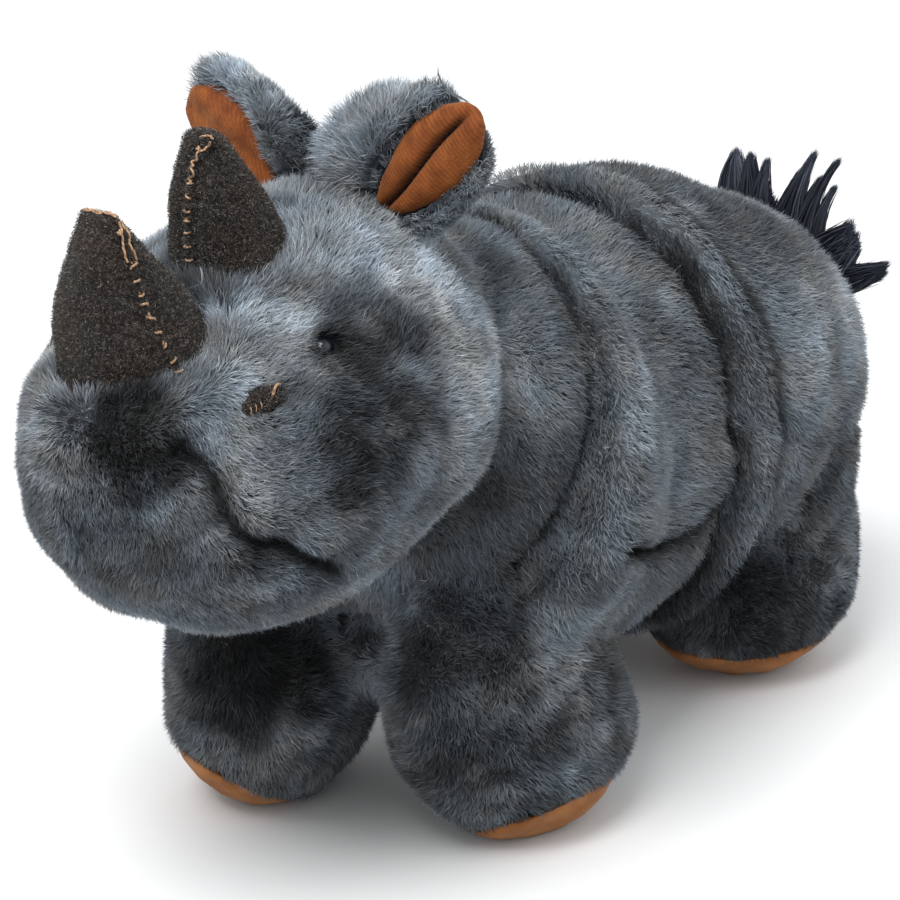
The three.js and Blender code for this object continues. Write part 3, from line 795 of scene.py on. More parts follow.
def unwrapped_copy(name, piece, wanted=None):
    """A loose copy of a piece, or of the part of it whose corners are wanted, unwrapped to fill the map."""
    patch = bpy.data.objects.new(name, piece.data.copy())
    bpy.context.scene.collection.objects.link(patch)
    if wanted is not None:
        shape = bmesh.new()
        shape.from_mesh(patch.data)
        gone = [face for face in shape.faces if not wanted[face.verts[0].index]]
        bmesh.ops.delete(shape, geom=gone, context="FACES")
        shape.to_mesh(patch.data)
        shape.free()
    patch.data.uv_layers.new(name="unwrap")
    pick(patch)
    bpy.ops.object.mode_set(mode="EDIT")
    bpy.ops.mesh.select_all(action="SELECT")
    bpy.ops.uv.smart_project(angle_limit=math.radians(60), island_margin=0.004)
    bpy.ops.object.mode_set(mode="OBJECT")
    return patch


def clear_of_face(roots, middles, tips):
    """Pile that isn't under a horn, an eye or a nostril."""
    straight = in_head(roots)
    keep = np.ones(len(roots), bool)
    for horn in ("horn_front", "horn_rear"):
        low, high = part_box(horn)
        middle = in_head(middle_of(horn))[0]
        aside = np.hypot(straight[:, 0] - middle[0], straight[:, 1] - middle[1])
        keep &= (aside > 0.40 * (high.y - low.y)) | (straight[:, 2] < 0.12)
    for piece in SET_IN:
        room = 0.0030 if piece.startswith("eye") else 0.0032
        for part in (roots, middles, tips):
            keep &= np.linalg.norm(part - middle_of(piece), axis=1) > room
    return keep


COATS = [
    # coat piece, region, part of it, tufts, width, contrast between tufts, colour height of the roots
    ["face_left", "head", lambda p: (p[:, 0] > 0.095) & (in_head(p)[:, 1] >= 0), 99500, 0.00018, 2.0, 0.04],
    ["face_right", "head", lambda p: (p[:, 0] > 0.095) & (in_head(p)[:, 1] < 0), 90000, 0.00019, 2.0, 0.04],
    ["crown", "head", lambda p: p[:, 0] <= 0.095, 92000, 0.00020, 1.3, 0.18],
    ["shoulders", "shoulders", None, 56000, 0.00025, 0.45, 0.60],
    ["flank", "flank", None, 99500, 0.00026, 0.4, 0.70],
    ["rump", "rump", None, 99500, 0.00026, 0.4, 0.70],
    ["leg_front_left", "leg_front_left", None, 42000, 0.00025, 0.8, 0.42],
    ["leg_front_right", "leg_front_right", None, 42000, 0.00025, 0.8, 0.42],
    ["leg_rear_left", "leg_rear_left", None, 38000, 0.00026, 0.6, 0.45],
    ["leg_rear_right", "leg_rear_right", None, 38000, 0.00026, 0.6, 0.45],
]
for number, (name, region, part, count, width, contrast, root_height) in enumerate(COATS):
    wanted = regions == region_names.index(region)
    backing = unwrapped_copy(name + "_backing", skin, wanted & part(places) if part else wanted)
    lay_pile("coat_" + name, backing, count, lambda p: comb(p, region), lambda p: cropped(p, region), width,
             contrast, root_height, 100 + number, clear_of_face if region == "head" else None, region)
    bpy.data.objects.remove(backing)


# ---- Ears: two cupped leaves of the same plush ----
# Each ear is folded lengthways round its lining and sewn into a slit of the crown. The left one stands up,
# and the right one lies flatter. Their pile runs up and out from the lining.
EAR_BACK = math.radians(10)
LINING_SIZE = (0.0085, 0.0182)  # half of its width and half of its length
EARS = [
    # side, which side of the head, rise of the tip above level, extra pile at the tip and on the inner side,
    # how far the leaf's tip is turned in behind the lining, and the painted shade of the pile inside the cup
    ["left", 1, math.radians(48), -0.0016, 0.0030, 0.0035, -0.4],
    ["right", -1, math.radians(22), 0.0040, 0.0010, 0.0, -0.5],
]


def ear_stance(sign, tip_rise):
    """The ear's ways across, along to its tip, and out of its face, as three rows."""
    along = Vector((-math.sin(EAR_BACK), sign * math.cos(EAR_BACK) * math.cos(tip_rise),
                    math.cos(EAR_BACK) * math.sin(tip_rise)))
    across = along.cross(Vector((1, 0, 0))).normalized()
    return out_of_head(np.array([across, along, across.cross(along)]))


def comb_ear(places, stance, middle, sign, cup_shade):
    """Up along the ear and out to its edges, in soft clumps, and down to the crown at its foot."""
    across, along, face = stance
    arm = places - middle
    aside, up = arm @ across, arm @ along
    outward = np.clip(aside / 0.012, -1, 1)
    low = rise(-up, 0.004, 0.018) * rise(-sign * aside, 0.001, 0.008)
    way = np.outer(0.9 - 1.5 * low, along) + np.outer(0.7 * outward, across)
    cupped = in_cup(arm, stance)
    way = unit(way) + 0.8 * cupped[:, None] * face
    lean = 38 + 12 * waves(places, 0.007, 24) + 26 * rise(up, 0.008, 0.018) * (1 - cupped)
    shade = 0.95 + 0.35 * waves(places, 0.010, 25) + 0.3 * waves(places, 0.004, 27)
    if sign < 0:
        shade = shade + 0.35 - 2.2 * rise(-up, 0.008, 0.018) * bump(aside, 0.011, 0.006)  # in the shade of the cup
    # Painted shade in the cup round the lining.
    return way + 0.3 * drift(places, 0.012, 21), np.radians(np.clip(lean, 10, 75)), shade + cup_shade * cupped


def lining_bend(up, sign):
    """How far the lining bends aside towards its foot: the right one is drawn in behind the horn."""
    return -0.0036 * rise(-up, 0.000, 0.018) * (sign < 0)


def in_cup(arm, stance):
    """1 in the cup of the ear, all round the lining."""
    ring = np.hypot((arm @ stance[0]) / 0.0090, (arm @ stance[1]) / 0.0186)
    return bump(ring, 1.1, 0.35) * rise(arm @ stance[2], -0.007, -0.002)


def ear_pile_length(places, stance, middle, sign, at_tip, inner):
    arm = places - middle
    aside, up = arm @ stance[0], arm @ stance[1]
    long = 0.0043 + at_tip * rise(up, 0.008, 0.018) + inner * rise(-aside, 0.004, 0.012)
    long += 0.0034 * rise(-up, 0.004, 0.018) * rise(-sign * aside, 0.001, 0.008)
    return np.maximum(long + 0.0012 * in_cup(arm, stance), 0.002)


for side, sign, ear_rise, at_tip, inner, turned_in, cup_shade in EARS:
    leaf = cut_from("ear_skin_" + side, ["ear_" + side], 0.0012, 4)
    stance = ear_stance(sign, ear_rise)
    middle = middle_of("ear_lining_" + side)
    leaf_places, leaf_facing = spots(leaf.data)
    tucked = turned_in * rise((leaf_places - middle) @ stance[1], 0.004, 0.020)
    leaf_places = leaf_places - leaf_facing * (0.0018 + 0.0004 * waves(leaf_places, 0.012, 26))[:, None]
    put_spots(leaf.data, leaf_places - np.outer(tucked, stance[1]))
    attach(leaf, "root")
    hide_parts("ear_" + side)
    colour_backing(leaf, np.full(len(leaf_places), 0.4), np.full(len(leaf_places), 0.4))

    def clear_of_lining(roots, middles, tips):
        clear = np.ones(len(roots), bool)
        for part in (roots, tips):
            arm = (part - middle) @ stance.T
            aside = arm[:, 0] - lining_bend(arm[:, 1], sign)
            outside = np.hypot(aside / LINING_SIZE[0], arm[:, 1] / LINING_SIZE[1]) > 0.97
            clear &= outside | (arm[:, 2] < -0.003)
        return clear

    backing = unwrapped_copy("ear_backing", leaf)
    lay_pile("coat_ear_" + side, backing, 34000, lambda p: comb_ear(p, stance, middle, sign, cup_shade),
             lambda p: ear_pile_length(p, stance, middle, sign, at_tip, inner), 0.00022, 0.9, 0.35, 140 + sign,
             clear_of_lining)
    bpy.data.objects.remove(backing)

# A few long fibres stand loose of the pile over the left ear and between the horns.
LOOSE_HAIRS = [
    # points along the hair on the toy, how light
    [[(0.060, 0.026, 0.1930), (0.060, 0.026, 0.1910), (0.060, 0.027, 0.1890), (0.060, 0.029, 0.1875),
      (0.060, 0.032, 0.1865), (0.060, 0.035, 0.1855)], -1.2],
    [[(0.060, 0.025, 0.1885), (0.060, 0.027, 0.1875), (0.060, 0.029, 0.1870), (0.060, 0.031, 0.1865),
      (0.060, 0.033, 0.1860), (0.060, 0.035, 0.1850)], -1.0],
    [[(0.1135, -0.0010, 0.1560), (0.1140, 0.0000, 0.1545), (0.1145, 0.0005, 0.1530), (0.1150, 0.0000, 0.1520),
      (0.1155, -0.0010, 0.1515), (0.1160, -0.0025, 0.1512)], 1.0],
]
hairs = np.array([line for line, _ in LOOSE_HAIRS])
light = np.array([shade for _, shade in LOOSE_HAIRS])
loose = ribbons("loose_hairs", hairs, np.full((len(hairs), 6), 0.0004), np.tile([-0.5, 0.7, 0.5], (len(hairs), 1)),
                np.full((len(hairs), 2), 0.5), {"tone": 0 * light, "brushed_and_painted_light": light}, 0.7)
loose.data.materials.append(plush)
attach(loose, "root")


# ---- Ear linings: rust velour, folded down the middle ----
# Each lining is one oval of ribbed cotton velour, turned in all round and drawn into a deep fold along the
# ear, so that it shows two plump lips.
VELOUR_RIB = 0.00095


def nap(tree, height, strength, depth):
    """A fine raised texture that follows this height, `depth` metres deep."""
    return add_node(tree, "Bump", {"Strength": strength, "Distance": depth, "Height": height}).outputs["Normal"]


def velour():
    finish, tree, surface = new_finish("rust_velour")
    dye = ramp(tree, noise(tree, 260, 4), (0.3, (0.110, 0.024, 0.0034)), (0.7, (0.195, 0.055, 0.0090)))
    # Painted shade: the ribs' hollows are darker, and the fold much darker.
    ribbed = add_node(tree, "MapRange", {"Value": marked(tree, "rib"), "From Min": -1, "From Max": 1,
                                         "To Min": 0.48, "To Max": 1.05}).outputs["Result"]
    light = reckon(tree, "MULTIPLY_ADD", marked(tree, "fold"), -0.72, ribbed)
    connect(tree, surface, {"Base Color": times(tree, dye, light), "Roughness": 0.85, "Specular IOR Level": 0.2,
                            "Sheen Weight": 0.12, "Sheen Roughness": 0.45, "Sheen Tint": (1.0, 0.60, 0.30, 1),
                            "Normal": nap(tree, noise(tree, 2600, 3), 0.5, 0.0003)})
    return finish


rust_velour = velour()
for side, sign, ear_rise, *_ in EARS:
    lining = cut_from("lining_" + side, ["ear_lining_" + side], 0.0006, 24)
    across, along, face = ear_stance(sign, ear_rise)
    lining_places, lining_facing = spots(lining.data)
    arm = lining_places - middle_of("ear_lining_" + side)
    taper = 1.06 - 0.32 * rise(-(arm @ along), -0.004, 0.018)  # drawn in towards its base
    lining_places = lining_places + np.outer((taper - 1) * (arm @ across) + lining_bend(arm @ along, sign), across)
    arm = lining_places - middle_of("ear_lining_" + side)
    aside = arm @ across + 0.0007 * np.sin((arm @ along) / 0.006)
    up = (arm @ along) / 0.0184
    front = np.clip(lining_facing @ face, 0, 1)
    open_end = 1 / (1 + np.exp((up - 0.72) / 0.06))
    fold = bump(aside, 0, 0.0007) * open_end * front * (sign > 0)  # the right one hides its fold
    rib = np.sin((arm @ along + 0.0004 * waves(lining_places, 0.006, 31)) * 2 * np.pi / VELOUR_RIB)
    loops = np.sin((aside + 0.0003 * waves(lining_places, 0.003, 33)) * 2 * np.pi / (0.8 * VELOUR_RIB))
    rib = rib * (0.72 + 0.28 * loops)
    lips = bump(abs(aside), 0.0042, 0.0030) * front
    moved = 0.0010 * lips - 0.0024 * fold + 0.00013 * rib + 0.00025 * waves(lining_places, 0.007, 32)
    put_spots(lining.data, lining_places + np.outer(moved, face))
    # The ribs and the fold are kept for the velour's painted shade.
    mark(lining.data, "rib", rib)
    mark(lining.data, "fold", fold)
    lining.data.materials.append(rust_velour)
    bpy.ops.object.shade_smooth()
    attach(lining, "root")
    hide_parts("ear_lining_" + side)


# ---- Horns: brown-black felt cones, closed with tan thread ----
# Each horn is a piece of thick brushed felt rolled into a cone, pressed flat at its blunt tip and filled.
# Tan thread is whipped over the tip and down the seam, and the foot is sunk in the pile of the nose.
HORN_BULGE = 1.3  # how late the cone narrows
HORN_PRESSED = 0.45  # how much the tip is flattened front to back
HORNS = [
    # name, foot, tip, foot radius, tip radius, the seam's turn at four heights, stitches
    ["front", (0.1290, 0, 0.1390), (0.1398, 0, 0.1720), 0.0177, 0.0058, (73, 65, 72, 95), 9],
    ["rear", (0.0981, 0, 0.1555), (0.1057, 0, 0.1822), 0.0135, 0.0058, (0, 0, 4, 40), 7],
]
HORN_THREAD = {
    # how far up the stitches go, the long threads' start, their offsets and sways, then for the threads over
    # the tip, the turns of their two ends and their offsets
    "front": [0.70, 0.76, [(-0.0004, 0.0), (0.0005, 1.4)], (-88, 95), (-0.0003, 0.0004)],
    "rear": [0.62, 0.66, [(0.0, 0.0)], (10, 60), (0.0,)],
}


def horn_radius(foot_radius, tip_radius, share):
    return tip_radius + (foot_radius - tip_radius) * (1 - np.clip(share, 0, 1) ** HORN_BULGE)


def on_horn(foot, tip, foot_radius, tip_radius, share, turn):
    """A place on the felt, `share` of the way up and `turn` round from the nose's way, in the toy's frame."""
    foot, tip = np.array(foot), np.array(tip)
    radius = horn_radius(foot_radius, tip_radius, share)
    thin = 1 - HORN_PRESSED * np.clip(share, 0, 1) ** 3
    middle = foot + (tip - foot) * np.asarray(share)[..., None]
    ring = np.stack([radius * thin * np.cos(turn), radius * np.sin(turn), 0 * radius * turn], -1)
    return out_of_head(middle + ring - NECK) + NECK


def felt():
    finish, tree, surface = new_finish("horn_felt")
    specks = noise(tree, 1100, 6, roughness=0.85, distortion=0.6)
    fibres = ramp(tree, specks, (0.42, (0.002, 0.0016, 0.0015)), (0.52, (0.0105, 0.0085, 0.0075)),
                  (0.66, (0.085, 0.076, 0.070)))
    cast = ramp(tree, noise(tree, 110, 3), (0.35, (1.1, 0.86, 0.70)), (0.62, (0.92, 0.95, 1.0)))
    connect(tree, surface, {"Base Color": tinted(tree, fibres, cast), "Roughness": 0.8, "Specular IOR Level": 0.15,
                            "Sheen Weight": 0.06, "Sheen Roughness": 0.5, "Sheen Tint": (0.62, 0.56, 0.48, 1),
                            "Normal": nap(tree, specks, 0.8, 0.0005)})
    return finish


def thread():
    finish, tree, surface = new_finish("tan_thread")
    where = add_node(tree, "TexCoord").outputs["Object"]
    twist = add_node(tree, "TexWave", {"Vector": where, "Scale": 900, "Distortion": 3}).outputs["Color"]
    dye = ramp(tree, twist, (0, (0.085, 0.036, 0.014)), (1, (0.33, 0.19, 0.090)))
    connect(tree, surface, {"Base Color": dye, "Roughness": 0.6, "Sheen Weight": 0.2})
    return finish


def sew(name, stitches, radius):
    """Thread laid along each list of points, as one mesh of fine tubes."""
    route = bpy.data.curves.new(name, "CURVE")
    route.dimensions = "3D"
    route.bevel_depth = radius
    route.bevel_resolution = 2
    route.resolution_u = 3
    route.use_fill_caps = True
    for stitch in stitches:
        line = route.splines.new("NURBS")
        line.points.add(len(stitch) - 1)
        for point, place in zip(line.points, stitch):
            point.co = (*place, 1)
        line.use_endpoint_u = True
        line.order_u = 3
    made = bpy.data.objects.new(name, route)
    bpy.context.scene.collection.objects.link(made)
    pick(made)
    bpy.ops.object.convert(target="MESH")
    made = bpy.context.object
    made.data.materials.append(tan_thread)
    bpy.ops.object.shade_smooth()
    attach(made, "root")
    return made


def fuzz(name, piece, count, long, width, seed, finish, kept):
    """Short loose fibres that stand off a piece in every way."""
    draw = np.random.default_rng(seed)
    backing = unwrapped_copy(name + "_backing", piece)
    roots, outward, unwrapped = scatter(backing, count, draw, in_order=True)
    bpy.data.objects.remove(backing)
    keep = kept(roots)
    roots, outward, unwrapped = roots[keep], outward[keep], unwrapped[keep]
    count = len(roots)
    length = long * draw.uniform(0.5, 1.2, count)[:, None]
    way = unit(outward + 1.1 * draw.normal(size=(count, 3)))
    way = unit(way + outward * 0.6)
    curl = unit(way + 0.9 * draw.normal(size=(count, 3)))
    middle = roots + 0.5 * length * way
    lines = np.stack([roots, middle, middle + 0.5 * length * curl], 1)
    across = unit(np.cross(way, draw.normal(size=(count, 3))))
    widths = width * draw.uniform(0.7, 1.3, count)[:, None] * np.array([0.0, 1.0, 0.0])
    made = ribbons(name, lines, widths, across, unwrapped, {"tone": draw.normal(size=count)})
    made.data.materials.append(finish)
    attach(made, "root")
    return made


def fibre(name, dark, light):
    """Loose fibre whose colour runs from dark to light by each fibre's own tone."""
    finish, tree, surface = new_finish(name)
    tone = add_node(tree, "MapRange", {"Value": marked(tree, "tone"), "From Min": -1.6, "From Max": 2.2})
    dye = ramp(tree, tone.outputs["Result"], (0.35, dark), (1, light))
    paler = reckon(tree, "MULTIPLY_ADD", marked(tree, "up_the_pile"), 0.9, 0.45)
    connect(tree, surface, {"Base Color": times(tree, dye, paler), "Roughness": 0.7, "Specular IOR Level": 0.25})
    return finish


horn_felt = felt()
tan_thread = thread()
felt_fibre = fibre("felt_fibre", (0.005, 0.0040, 0.0034), (0.200, 0.178, 0.160))
SEAM_HEIGHTS = (0.0, 0.5, 0.85, 1.0)
HORN_SUNK = 0.009  # how far the foot reaches down through the pile
ROUND = 96
ROWS = 44
CLOSING = [(0.92, 0.0005), (0.72, 0.0010), (0.42, 0.0013), (0.0, 0.0014)]  # rings over the tip: size, rise
for name, foot, tip, foot_radius, tip_radius, seam, stitches in HORNS:
    cone_of = (foot, tip, foot_radius, tip_radius)
    start = Vector(foot)
    bpy.ops.object.select_all(action="DESELECT")
    bpy.ops.mesh.primitive_circle_add(vertices=ROUND, radius=foot_radius, location=start)
    cone = bpy.context.object
    cone.name = "felt_horn_" + name
    bpy.ops.object.transform_apply(location=True, rotation=True, scale=True)
    bpy.ops.object.mode_set(mode="EDIT")
    bpy.ops.mesh.select_all(action="SELECT")
    for row in range(ROWS + len(CLOSING)):
        bpy.ops.mesh.extrude_region_move(TRANSFORM_OT_translate={"value": (0, 0, 0.001)})
    bpy.ops.mesh.merge(type="CENTER")
    bpy.ops.mesh.select_all(action="SELECT")
    bpy.ops.mesh.normals_make_consistent(inside=False)
    bpy.ops.object.mode_set(mode="OBJECT")
    # The straight tube is drawn out ring by ring to the cone and closed over the pressed tip.
    tube, _ = spots(cone.data)
    turn = np.arctan2(tube[:, 1] - start.y, tube[:, 0] - start.x)
    row = np.rint((tube[:, 2] - start.z) / 0.001).astype(int)
    share = np.minimum(row / ROWS, 1)
    felted = on_horn(*cone_of, share, turn)
    felted[row == 0, 2] -= HORN_SUNK
    tip_middle = on_horn(foot, tip, 0, 0, np.array([1.0]), np.array([0.0]))[0]
    for number, (size, height) in enumerate(CLOSING):
        ring = row == ROWS + 1 + number
        felted[ring] = tip_middle + size * (felted[ring] - tip_middle) + (0, 0, height)
    out = felted - on_horn(foot, tip, 0, 0, share, turn)
    out = unit(out + (0, 0, 1e-6))
    seam_turn = np.radians(np.interp(share, SEAM_HEIGHTS, seam))
    gap = horn_radius(foot_radius, tip_radius, share) * abs(np.angle(np.exp(1j * (turn - seam_turn))))
    ridge = 0.0007 * bump(gap, 0, 0.0009) - 0.0005 * bump(gap, 0.0022, 0.0012)
    pucker = 0.0003 * bump(gap, 0, 0.003) * np.sin(2 * np.pi * stitches * share)
    wobble = 0.00045 * waves(felted, 0.010, 41) + 0.00015 * waves(felted, 0.003, 42)
    put_spots(cone.data, felted + out * ((ridge + pucker + wobble) * (row > 0))[:, None])
    finish_with(cone, "TRIANGULATE", quad_method="SHORTEST_DIAGONAL")
    cone.data.materials.append(horn_felt)
    bpy.ops.object.shade_smooth()
    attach(cone, "root")
    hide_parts("horn_" + name)

    def above_pile(roots):
        return roots[:, 2] > foot[2] - 0.002

    fuzz("felt_fuzz_" + name, cone, 34000, 0.0010, 0.00011, 150 + stitches, felt_fibre, above_pile)

    def on_seam(share, aside):
        share = np.atleast_1d(share)
        turn = np.radians(np.interp(share, SEAM_HEIGHTS, seam)) + aside / horn_radius(foot_radius, tip_radius, share)
        return on_horn(*cone_of, share, turn)[0]

    felted, _ = spots(cone.data)
    faces = np.array([face.vertices for face in cone.data.polygons])
    felt_tree = BVHTree.FromPolygons(felted.tolist(), faces[by_place(felted, faces)[0]].tolist())

    def laid(places, lifts):
        """The places moved onto the felt and lifted off it by these heights."""
        laid_on = []
        for place, lift in zip(places, lifts):
            nearest, normal, _, _ = felt_tree.find_nearest(Vector(place))
            laid_on.append(tuple(nearest + lift * normal))
        return laid_on

    stitched_to, run_from, runs, ends, overs = HORN_THREAD[name]
    draw = np.random.default_rng(160 + stitches)
    loops = []
    for number in range(stitches):
        share = 0.03 + stitched_to * number / (stitches - 1) + draw.uniform(-0.012, 0.012)
        width, slant = draw.uniform(0.0005, 0.0010), draw.uniform(-0.020, 0.024)
        loops.append(laid([on_seam(share + k * slant, k * width) for k in (-1.0, -0.5, 0.0, 0.5, 1.0)],
                          (-0.0003, 0.0004, 0.0006, 0.0004, -0.0003)))
        if draw.random() < 0.5:
            loops.append(laid([on_seam(share + 0.02 * k, 0.0004 * (-1) ** k) for k in range(3)],
                              (-0.0002, 0.0004, -0.0002)))
    for offset, sway in runs:
        run = [on_seam(share, offset + 0.00022 * math.sin(2.3 * k + sway))
               for k, share in enumerate(np.linspace(run_from, 1.0, 16))]
        loops.append(laid(run, [0.0004 + 0.0001 * math.sin(1.3 * k + sway) for k in range(16)]))
    over = [on_horn(*cone_of, np.array([1.0]), np.radians([end]))[0] for end in ends]
    for offset in overs:
        row = [over[0] + (over[1] - over[0]) * k + np.array([offset, 0, 0.0016]) for k in np.linspace(0.04, 0.97, 12)]
        loops.append(laid(row, [0.0003 + 0.0002 * math.sin(1.9 * k) for k in range(12)]))
    knot = on_seam(0.93, -0.0013)
    loops.append(laid([knot + 0.0007 * np.array([math.cos(2 * k), math.sin(2 * k), math.sin(3 * k)]) for k in range(6)],
                      (0.0003, 0.0009, 0.0005, 0.0010, 0.0004, 0.0006)))
    sew("horn_thread_" + name, loops, 0.00026)


# ---- Eyes: glossy black safety eyes ----
# Each eye is a moulded black plastic dome with a fine rim, pushed through the backing on a shank and held
# by a washer inside. It sits deep in the pile.
EYE_RADIUS = 0.0030
EYE_SUNK = 0.0018
EYE_WAY = (0.62, 0.75, 0.22)  # the left eye's way out of the straight head


def black_gloss():
    finish, tree, surface = new_finish("eye_gloss")
    handling = noise(tree, 500, 4)
    polish = add_node(tree, "MapRange", {"Value": handling, "To Min": 0.03, "To Max": 0.10}).outputs["Result"]
    plastic = ramp(tree, handling, (0, (0.002, 0.002, 0.003)), (1, (0.006, 0.007, 0.012)))
    connect(tree, surface, {"Base Color": plastic, "Roughness": polish, "IOR": 1.38})
    return finish


eye_gloss = black_gloss()
for side, sign in (("left", 1), ("right", -1)):
    middle = middle_of("eye_" + side)
    way = Vector(out_of_head(np.array([EYE_WAY[0], sign * EYE_WAY[1], EYE_WAY[2]]))[0]).normalized()
    middle = middle - EYE_SUNK * np.array(way)
    bpy.ops.object.select_all(action="DESELECT")
    bpy.ops.mesh.primitive_uv_sphere_add(segments=48, ring_count=32, radius=EYE_RADIUS, location=middle,
                                         rotation=way.to_track_quat("Z", "Y").to_euler())
    dome = bpy.context.object
    dome.name = "eye_dome_" + side
    bpy.ops.object.transform_apply(location=True, rotation=True, scale=True)
    eye_places, eye_facing = spots(dome.data)
    height = (eye_places - middle) @ np.array(way) / EYE_RADIUS
    rim = 0.05 * bump(height, -0.42, 0.10)
    drawn_in = np.where(height < -0.55, 0.35 * (-0.55 - height), 0)
    moved = eye_facing * (rim * EYE_RADIUS)[:, None] + np.outer(drawn_in * EYE_RADIUS, np.array(way))
    put_spots(dome.data, eye_places + moved)
    dome.data.materials.append(eye_gloss)
    bpy.ops.object.shade_smooth()
    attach(dome, "root")
    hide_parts("eye_" + side)


# ---- Nostrils: felt ovals sewn on with tan thread ----
# Each nostril is a small oval of the horn's felt laid in the pile of the muzzle and held by a few
# stitches of the same tan thread over its front edge.
NOSTRIL_ALONG = (-0.84, 0.36, 0.30)
NOSTRIL_SUNK = 0.0013  # into the pile
for side, sign in (("left", 1), ("right", -1)):
    middle = middle_of("nostril_" + side)
    along = unit(out_of_head(np.array([NOSTRIL_ALONG]) * (1, sign, 1)))[0]
    out = out_of_head(np.array([NOSTRIL_OUT]) * (1, sign, 1))[0]
    out = out - along * (along @ out)
    out /= np.linalg.norm(out)
    across = np.cross(out, along)
    middle = middle - NOSTRIL_SUNK * out
    patch = cut_from("nostril_patch_" + side, ["nostril_" + side], 0.0004, 4)
    patch_places, patch_facing = spots(patch.data)
    wobble = 0.0002 * waves(patch_places, 0.004, 51) + 0.00008 * waves(patch_places, 0.0015, 52)
    put_spots(patch.data, patch_places + patch_facing * wobble[:, None] - NOSTRIL_SUNK * out)
    patch.data.materials.append(horn_felt)
    bpy.ops.object.shade_smooth()
    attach(patch, "root")
    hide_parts("nostril_" + side)
    fuzz("nostril_fuzz_" + side, patch, 3000, 0.0008, 0.00012, 170 + sign, felt_fibre,
         lambda roots: (roots - middle) @ out > -0.0005)
    side_way = across * sign

    def thread_over(name, loops, radius):
        """Thread over the patch, through places along it, aside on it and above it."""
        sew(name + side, [[tuple(middle + along * up + side_way * aside + out * (0.0016 + lift))
                           for up, aside, lift in loop] for loop in loops], radius)

    thread_over("nostril_thread_", [
        [(0.0046, 0.0012, -0.001), (0.0040, 0.0014, 0.0002), (0.0030, 0.0010, 0.0004), (0.0024, 0.0004, 0.0003),
         (0.0018, 0.0001, -0.0008)],
        [(0.0026, 0.0004, -0.0006), (0.0020, -0.0002, 0.0003), (0.0012, -0.0004, -0.0008)]], 0.00030)
    thread_over("nostril_stitches_", [
        [(-0.0012 - 0.0013 * k, 0.0002 - 0.0002 * k, -0.0008), (-0.0014 - 0.0013 * k, -0.0008, 0.0004),
         (-0.0018 - 0.0013 * k, -0.0016, -0.0006)] for k in range(3)], 0.00012)


# ---- Soles: tan suede discs under the feet ----
# Each foot is closed below by a disc of thin tan suede, sewn to the plush inside out. The nap is brushed,
# paler in patches where it has rubbed.
def suede():
    finish, tree, surface = new_finish("tan_suede")
    rubbed = ramp(tree, noise(tree, 120, 5), (0.34, (0.165, 0.055, 0.013)), (0.68, (0.265, 0.105, 0.030)))
    connect(tree, surface, {"Base Color": rubbed, "Roughness": 0.85, "Specular IOR Level": 0.2,
                            "Sheen Weight": 0.1, "Sheen Roughness": 0.5, "Sheen Tint": (1.0, 0.70, 0.45, 1),
                            "Normal": nap(tree, noise(tree, 2200, 4), 0.6, 0.0003)})
    return finish


tan_suede = suede()
for node in SOLE_NODES:
    disc = cut_from("suede_" + node, [node], 0.0009, 3)
    disc_places, disc_facing = spots(disc.data)
    soft = 0.0004 * waves(disc_places, 0.014, 61) * (disc_places[:, 2] > 0.001)
    put_spots(disc.data, disc_places + disc_facing * soft[:, None])
    disc.data.materials.append(tan_suede)
    bpy.ops.object.shade_smooth()
    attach(disc, "root")
    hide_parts(node)


# ---- Tail: a fringe of navy yarn ----
# The tail is a strip of brushed dark blue yarn sewn by its edge along the back of the rump. It has frayed
# into pointed locks of uneven length.
TAIL_LINE = [(-0.1235, -0.003, 0.113), (-0.1295, 0.007, 0.108), (-0.1340, 0.017, 0.101),
             (-0.1370, 0.027, 0.0925), (-0.1380, 0.035, 0.084)]
TAIL_LOCKS = [
    # from and to along the strip, the tip's two corners, how full the lock stays on its way up, how much it curls
    [0.03, 0.24, (-0.1275, 0.0010, 0.1284), (-0.1275, 0.0016, 0.1278), 0.9, 0.0010],
    [0.12, 0.31, (-0.1290, 0.0045, 0.1274), (-0.1290, 0.0050, 0.1270), 0.5, 0.0],
    [0.20, 0.36, (-0.1310, 0.0089, 0.1258), (-0.1310, 0.0093, 0.1254), 0.4, 0.0012],
    [0.34, 0.56, (-0.1345, 0.0221, 0.1290), (-0.1345, 0.0219, 0.1284), 0.3, 0.0030],
    [0.32, 0.50, (-0.1340, 0.0180, 0.1232), (-0.1340, 0.0185, 0.1236), 0.6, 0.0010],
    [0.46, 0.62, (-0.1355, 0.0290, 0.1276), (-0.1355, 0.0286, 0.1274), 0.1, 0.0042],
    [0.44, 0.60, (-0.1355, 0.0235, 0.1219), (-0.1355, 0.0235, 0.1215), 0.5, 0.0015],
    [0.52, 0.68, (-0.1360, 0.0275, 0.1196), (-0.1360, 0.0273, 0.1192), 0.2, 0.0025],
    [0.54, 0.76, (-0.1370, 0.0325, 0.1110), (-0.1370, 0.0345, 0.1060), 1.0, 0.0020],
    [0.60, 0.82, (-0.1370, 0.0345, 0.1080), (-0.1370, 0.0360, 0.1020), 1.0, 0.0020],
    [0.68, 0.88, (-0.1380, 0.0440, 0.1005), (-0.1380, 0.0432, 0.0955), 0.9, 0.0010],
    [0.05, 0.86, None, None, 1.0, 0.0],  # the short strands between the locks
]
ALONG_FRINGE = np.array([-0.545, 0.839, 0.0])  # level, towards the fringe's low end


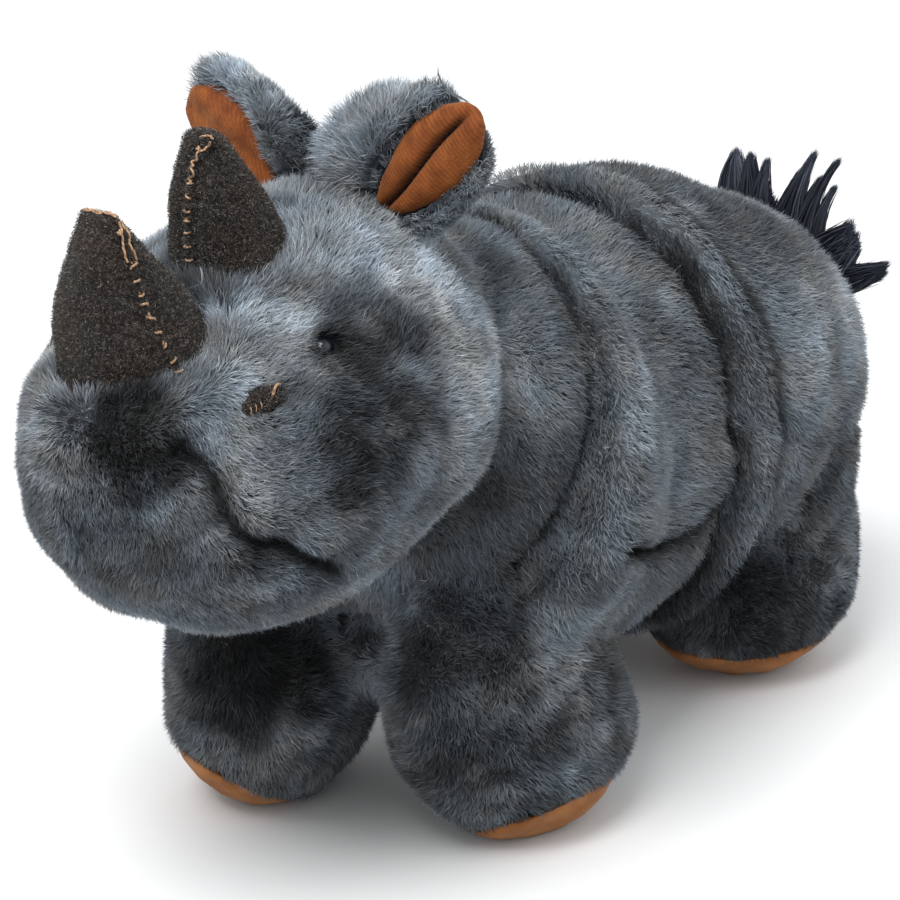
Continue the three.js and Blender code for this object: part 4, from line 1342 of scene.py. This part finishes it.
def along_line(line, share):
    line = np.array(line)
    steps = np.linspace(0, 1, len(line))
    return np.stack([np.interp(share, steps, line[:, k]) for k in range(3)], -1)


navy_yarn = fibre("navy_yarn", (0.014, 0.017, 0.026), (0.085, 0.098, 0.128))
draw = np.random.default_rng(71)
STRANDS = 560  # in each lock
rows = 7
up = np.linspace(0, 1, rows)[None, :, None]
lines, tones, shares = [], [], []
for start, stop, corner, other, full, curl in TAIL_LOCKS:
    many = STRANDS if corner else 4 * STRANDS
    share = draw.uniform(start, stop, many)
    base = along_line(TAIL_LINE, share)
    if corner:
        tips = np.array(corner) + np.outer(draw.random(many), np.array(other) - corner)
        centre = along_line(TAIL_LINE, (start + stop) / 2)
    else:
        tips = base + np.array([-0.0030, 0.0030, 0.0068]) + 0.0010 * draw.normal(size=(many, 3))
        centre = base
    reach = tips.mean(0) - centre if corner else tips - base
    bend = full * base + (1 - full) * centre + 0.58 * reach - curl * ALONG_FRINGE
    end = (1 - 0.45 * draw.random(many) ** 3)[:, None, None]
    t = up * end
    path = (1 - t) ** 2 * base[:, None] + 2 * t * (1 - t) * bend[:, None] + t**2 * tips[:, None]
    path[:, :, 0] += (0.0011 * draw.normal(size=many))[:, None] * (1 - 0.5 * up[:, :, 0])
    lines.append(path + 0.0004 * up**2 * draw.normal(size=(many, 1, 3)))
    across_lock = share - (start + stop) / 2 if corner else 0 * share
    tones.append(0.35 * draw.normal(size=many) + 0.5 * draw.normal() + 5 * across_lock)
    shares.append(share)
lines = np.concatenate(lines)
tones, share = np.concatenate(tones), np.concatenate(shares)
count = len(lines)
across = unit(np.cross(lines[:, -1] - lines[:, 0], draw.normal(size=(count, 3))))
widths = 0.00036 * draw.uniform(0.7, 1.3, count)[:, None] * np.linspace(1.0, 0.7, rows)
tail = ribbons("tail_fringe", lines, widths, across, np.column_stack([share, 0.5 + 0.3 * draw.random(count)]),
               {"tone": tones})
tail.data.materials.append(navy_yarn)
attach(tail, "root")
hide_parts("tail")
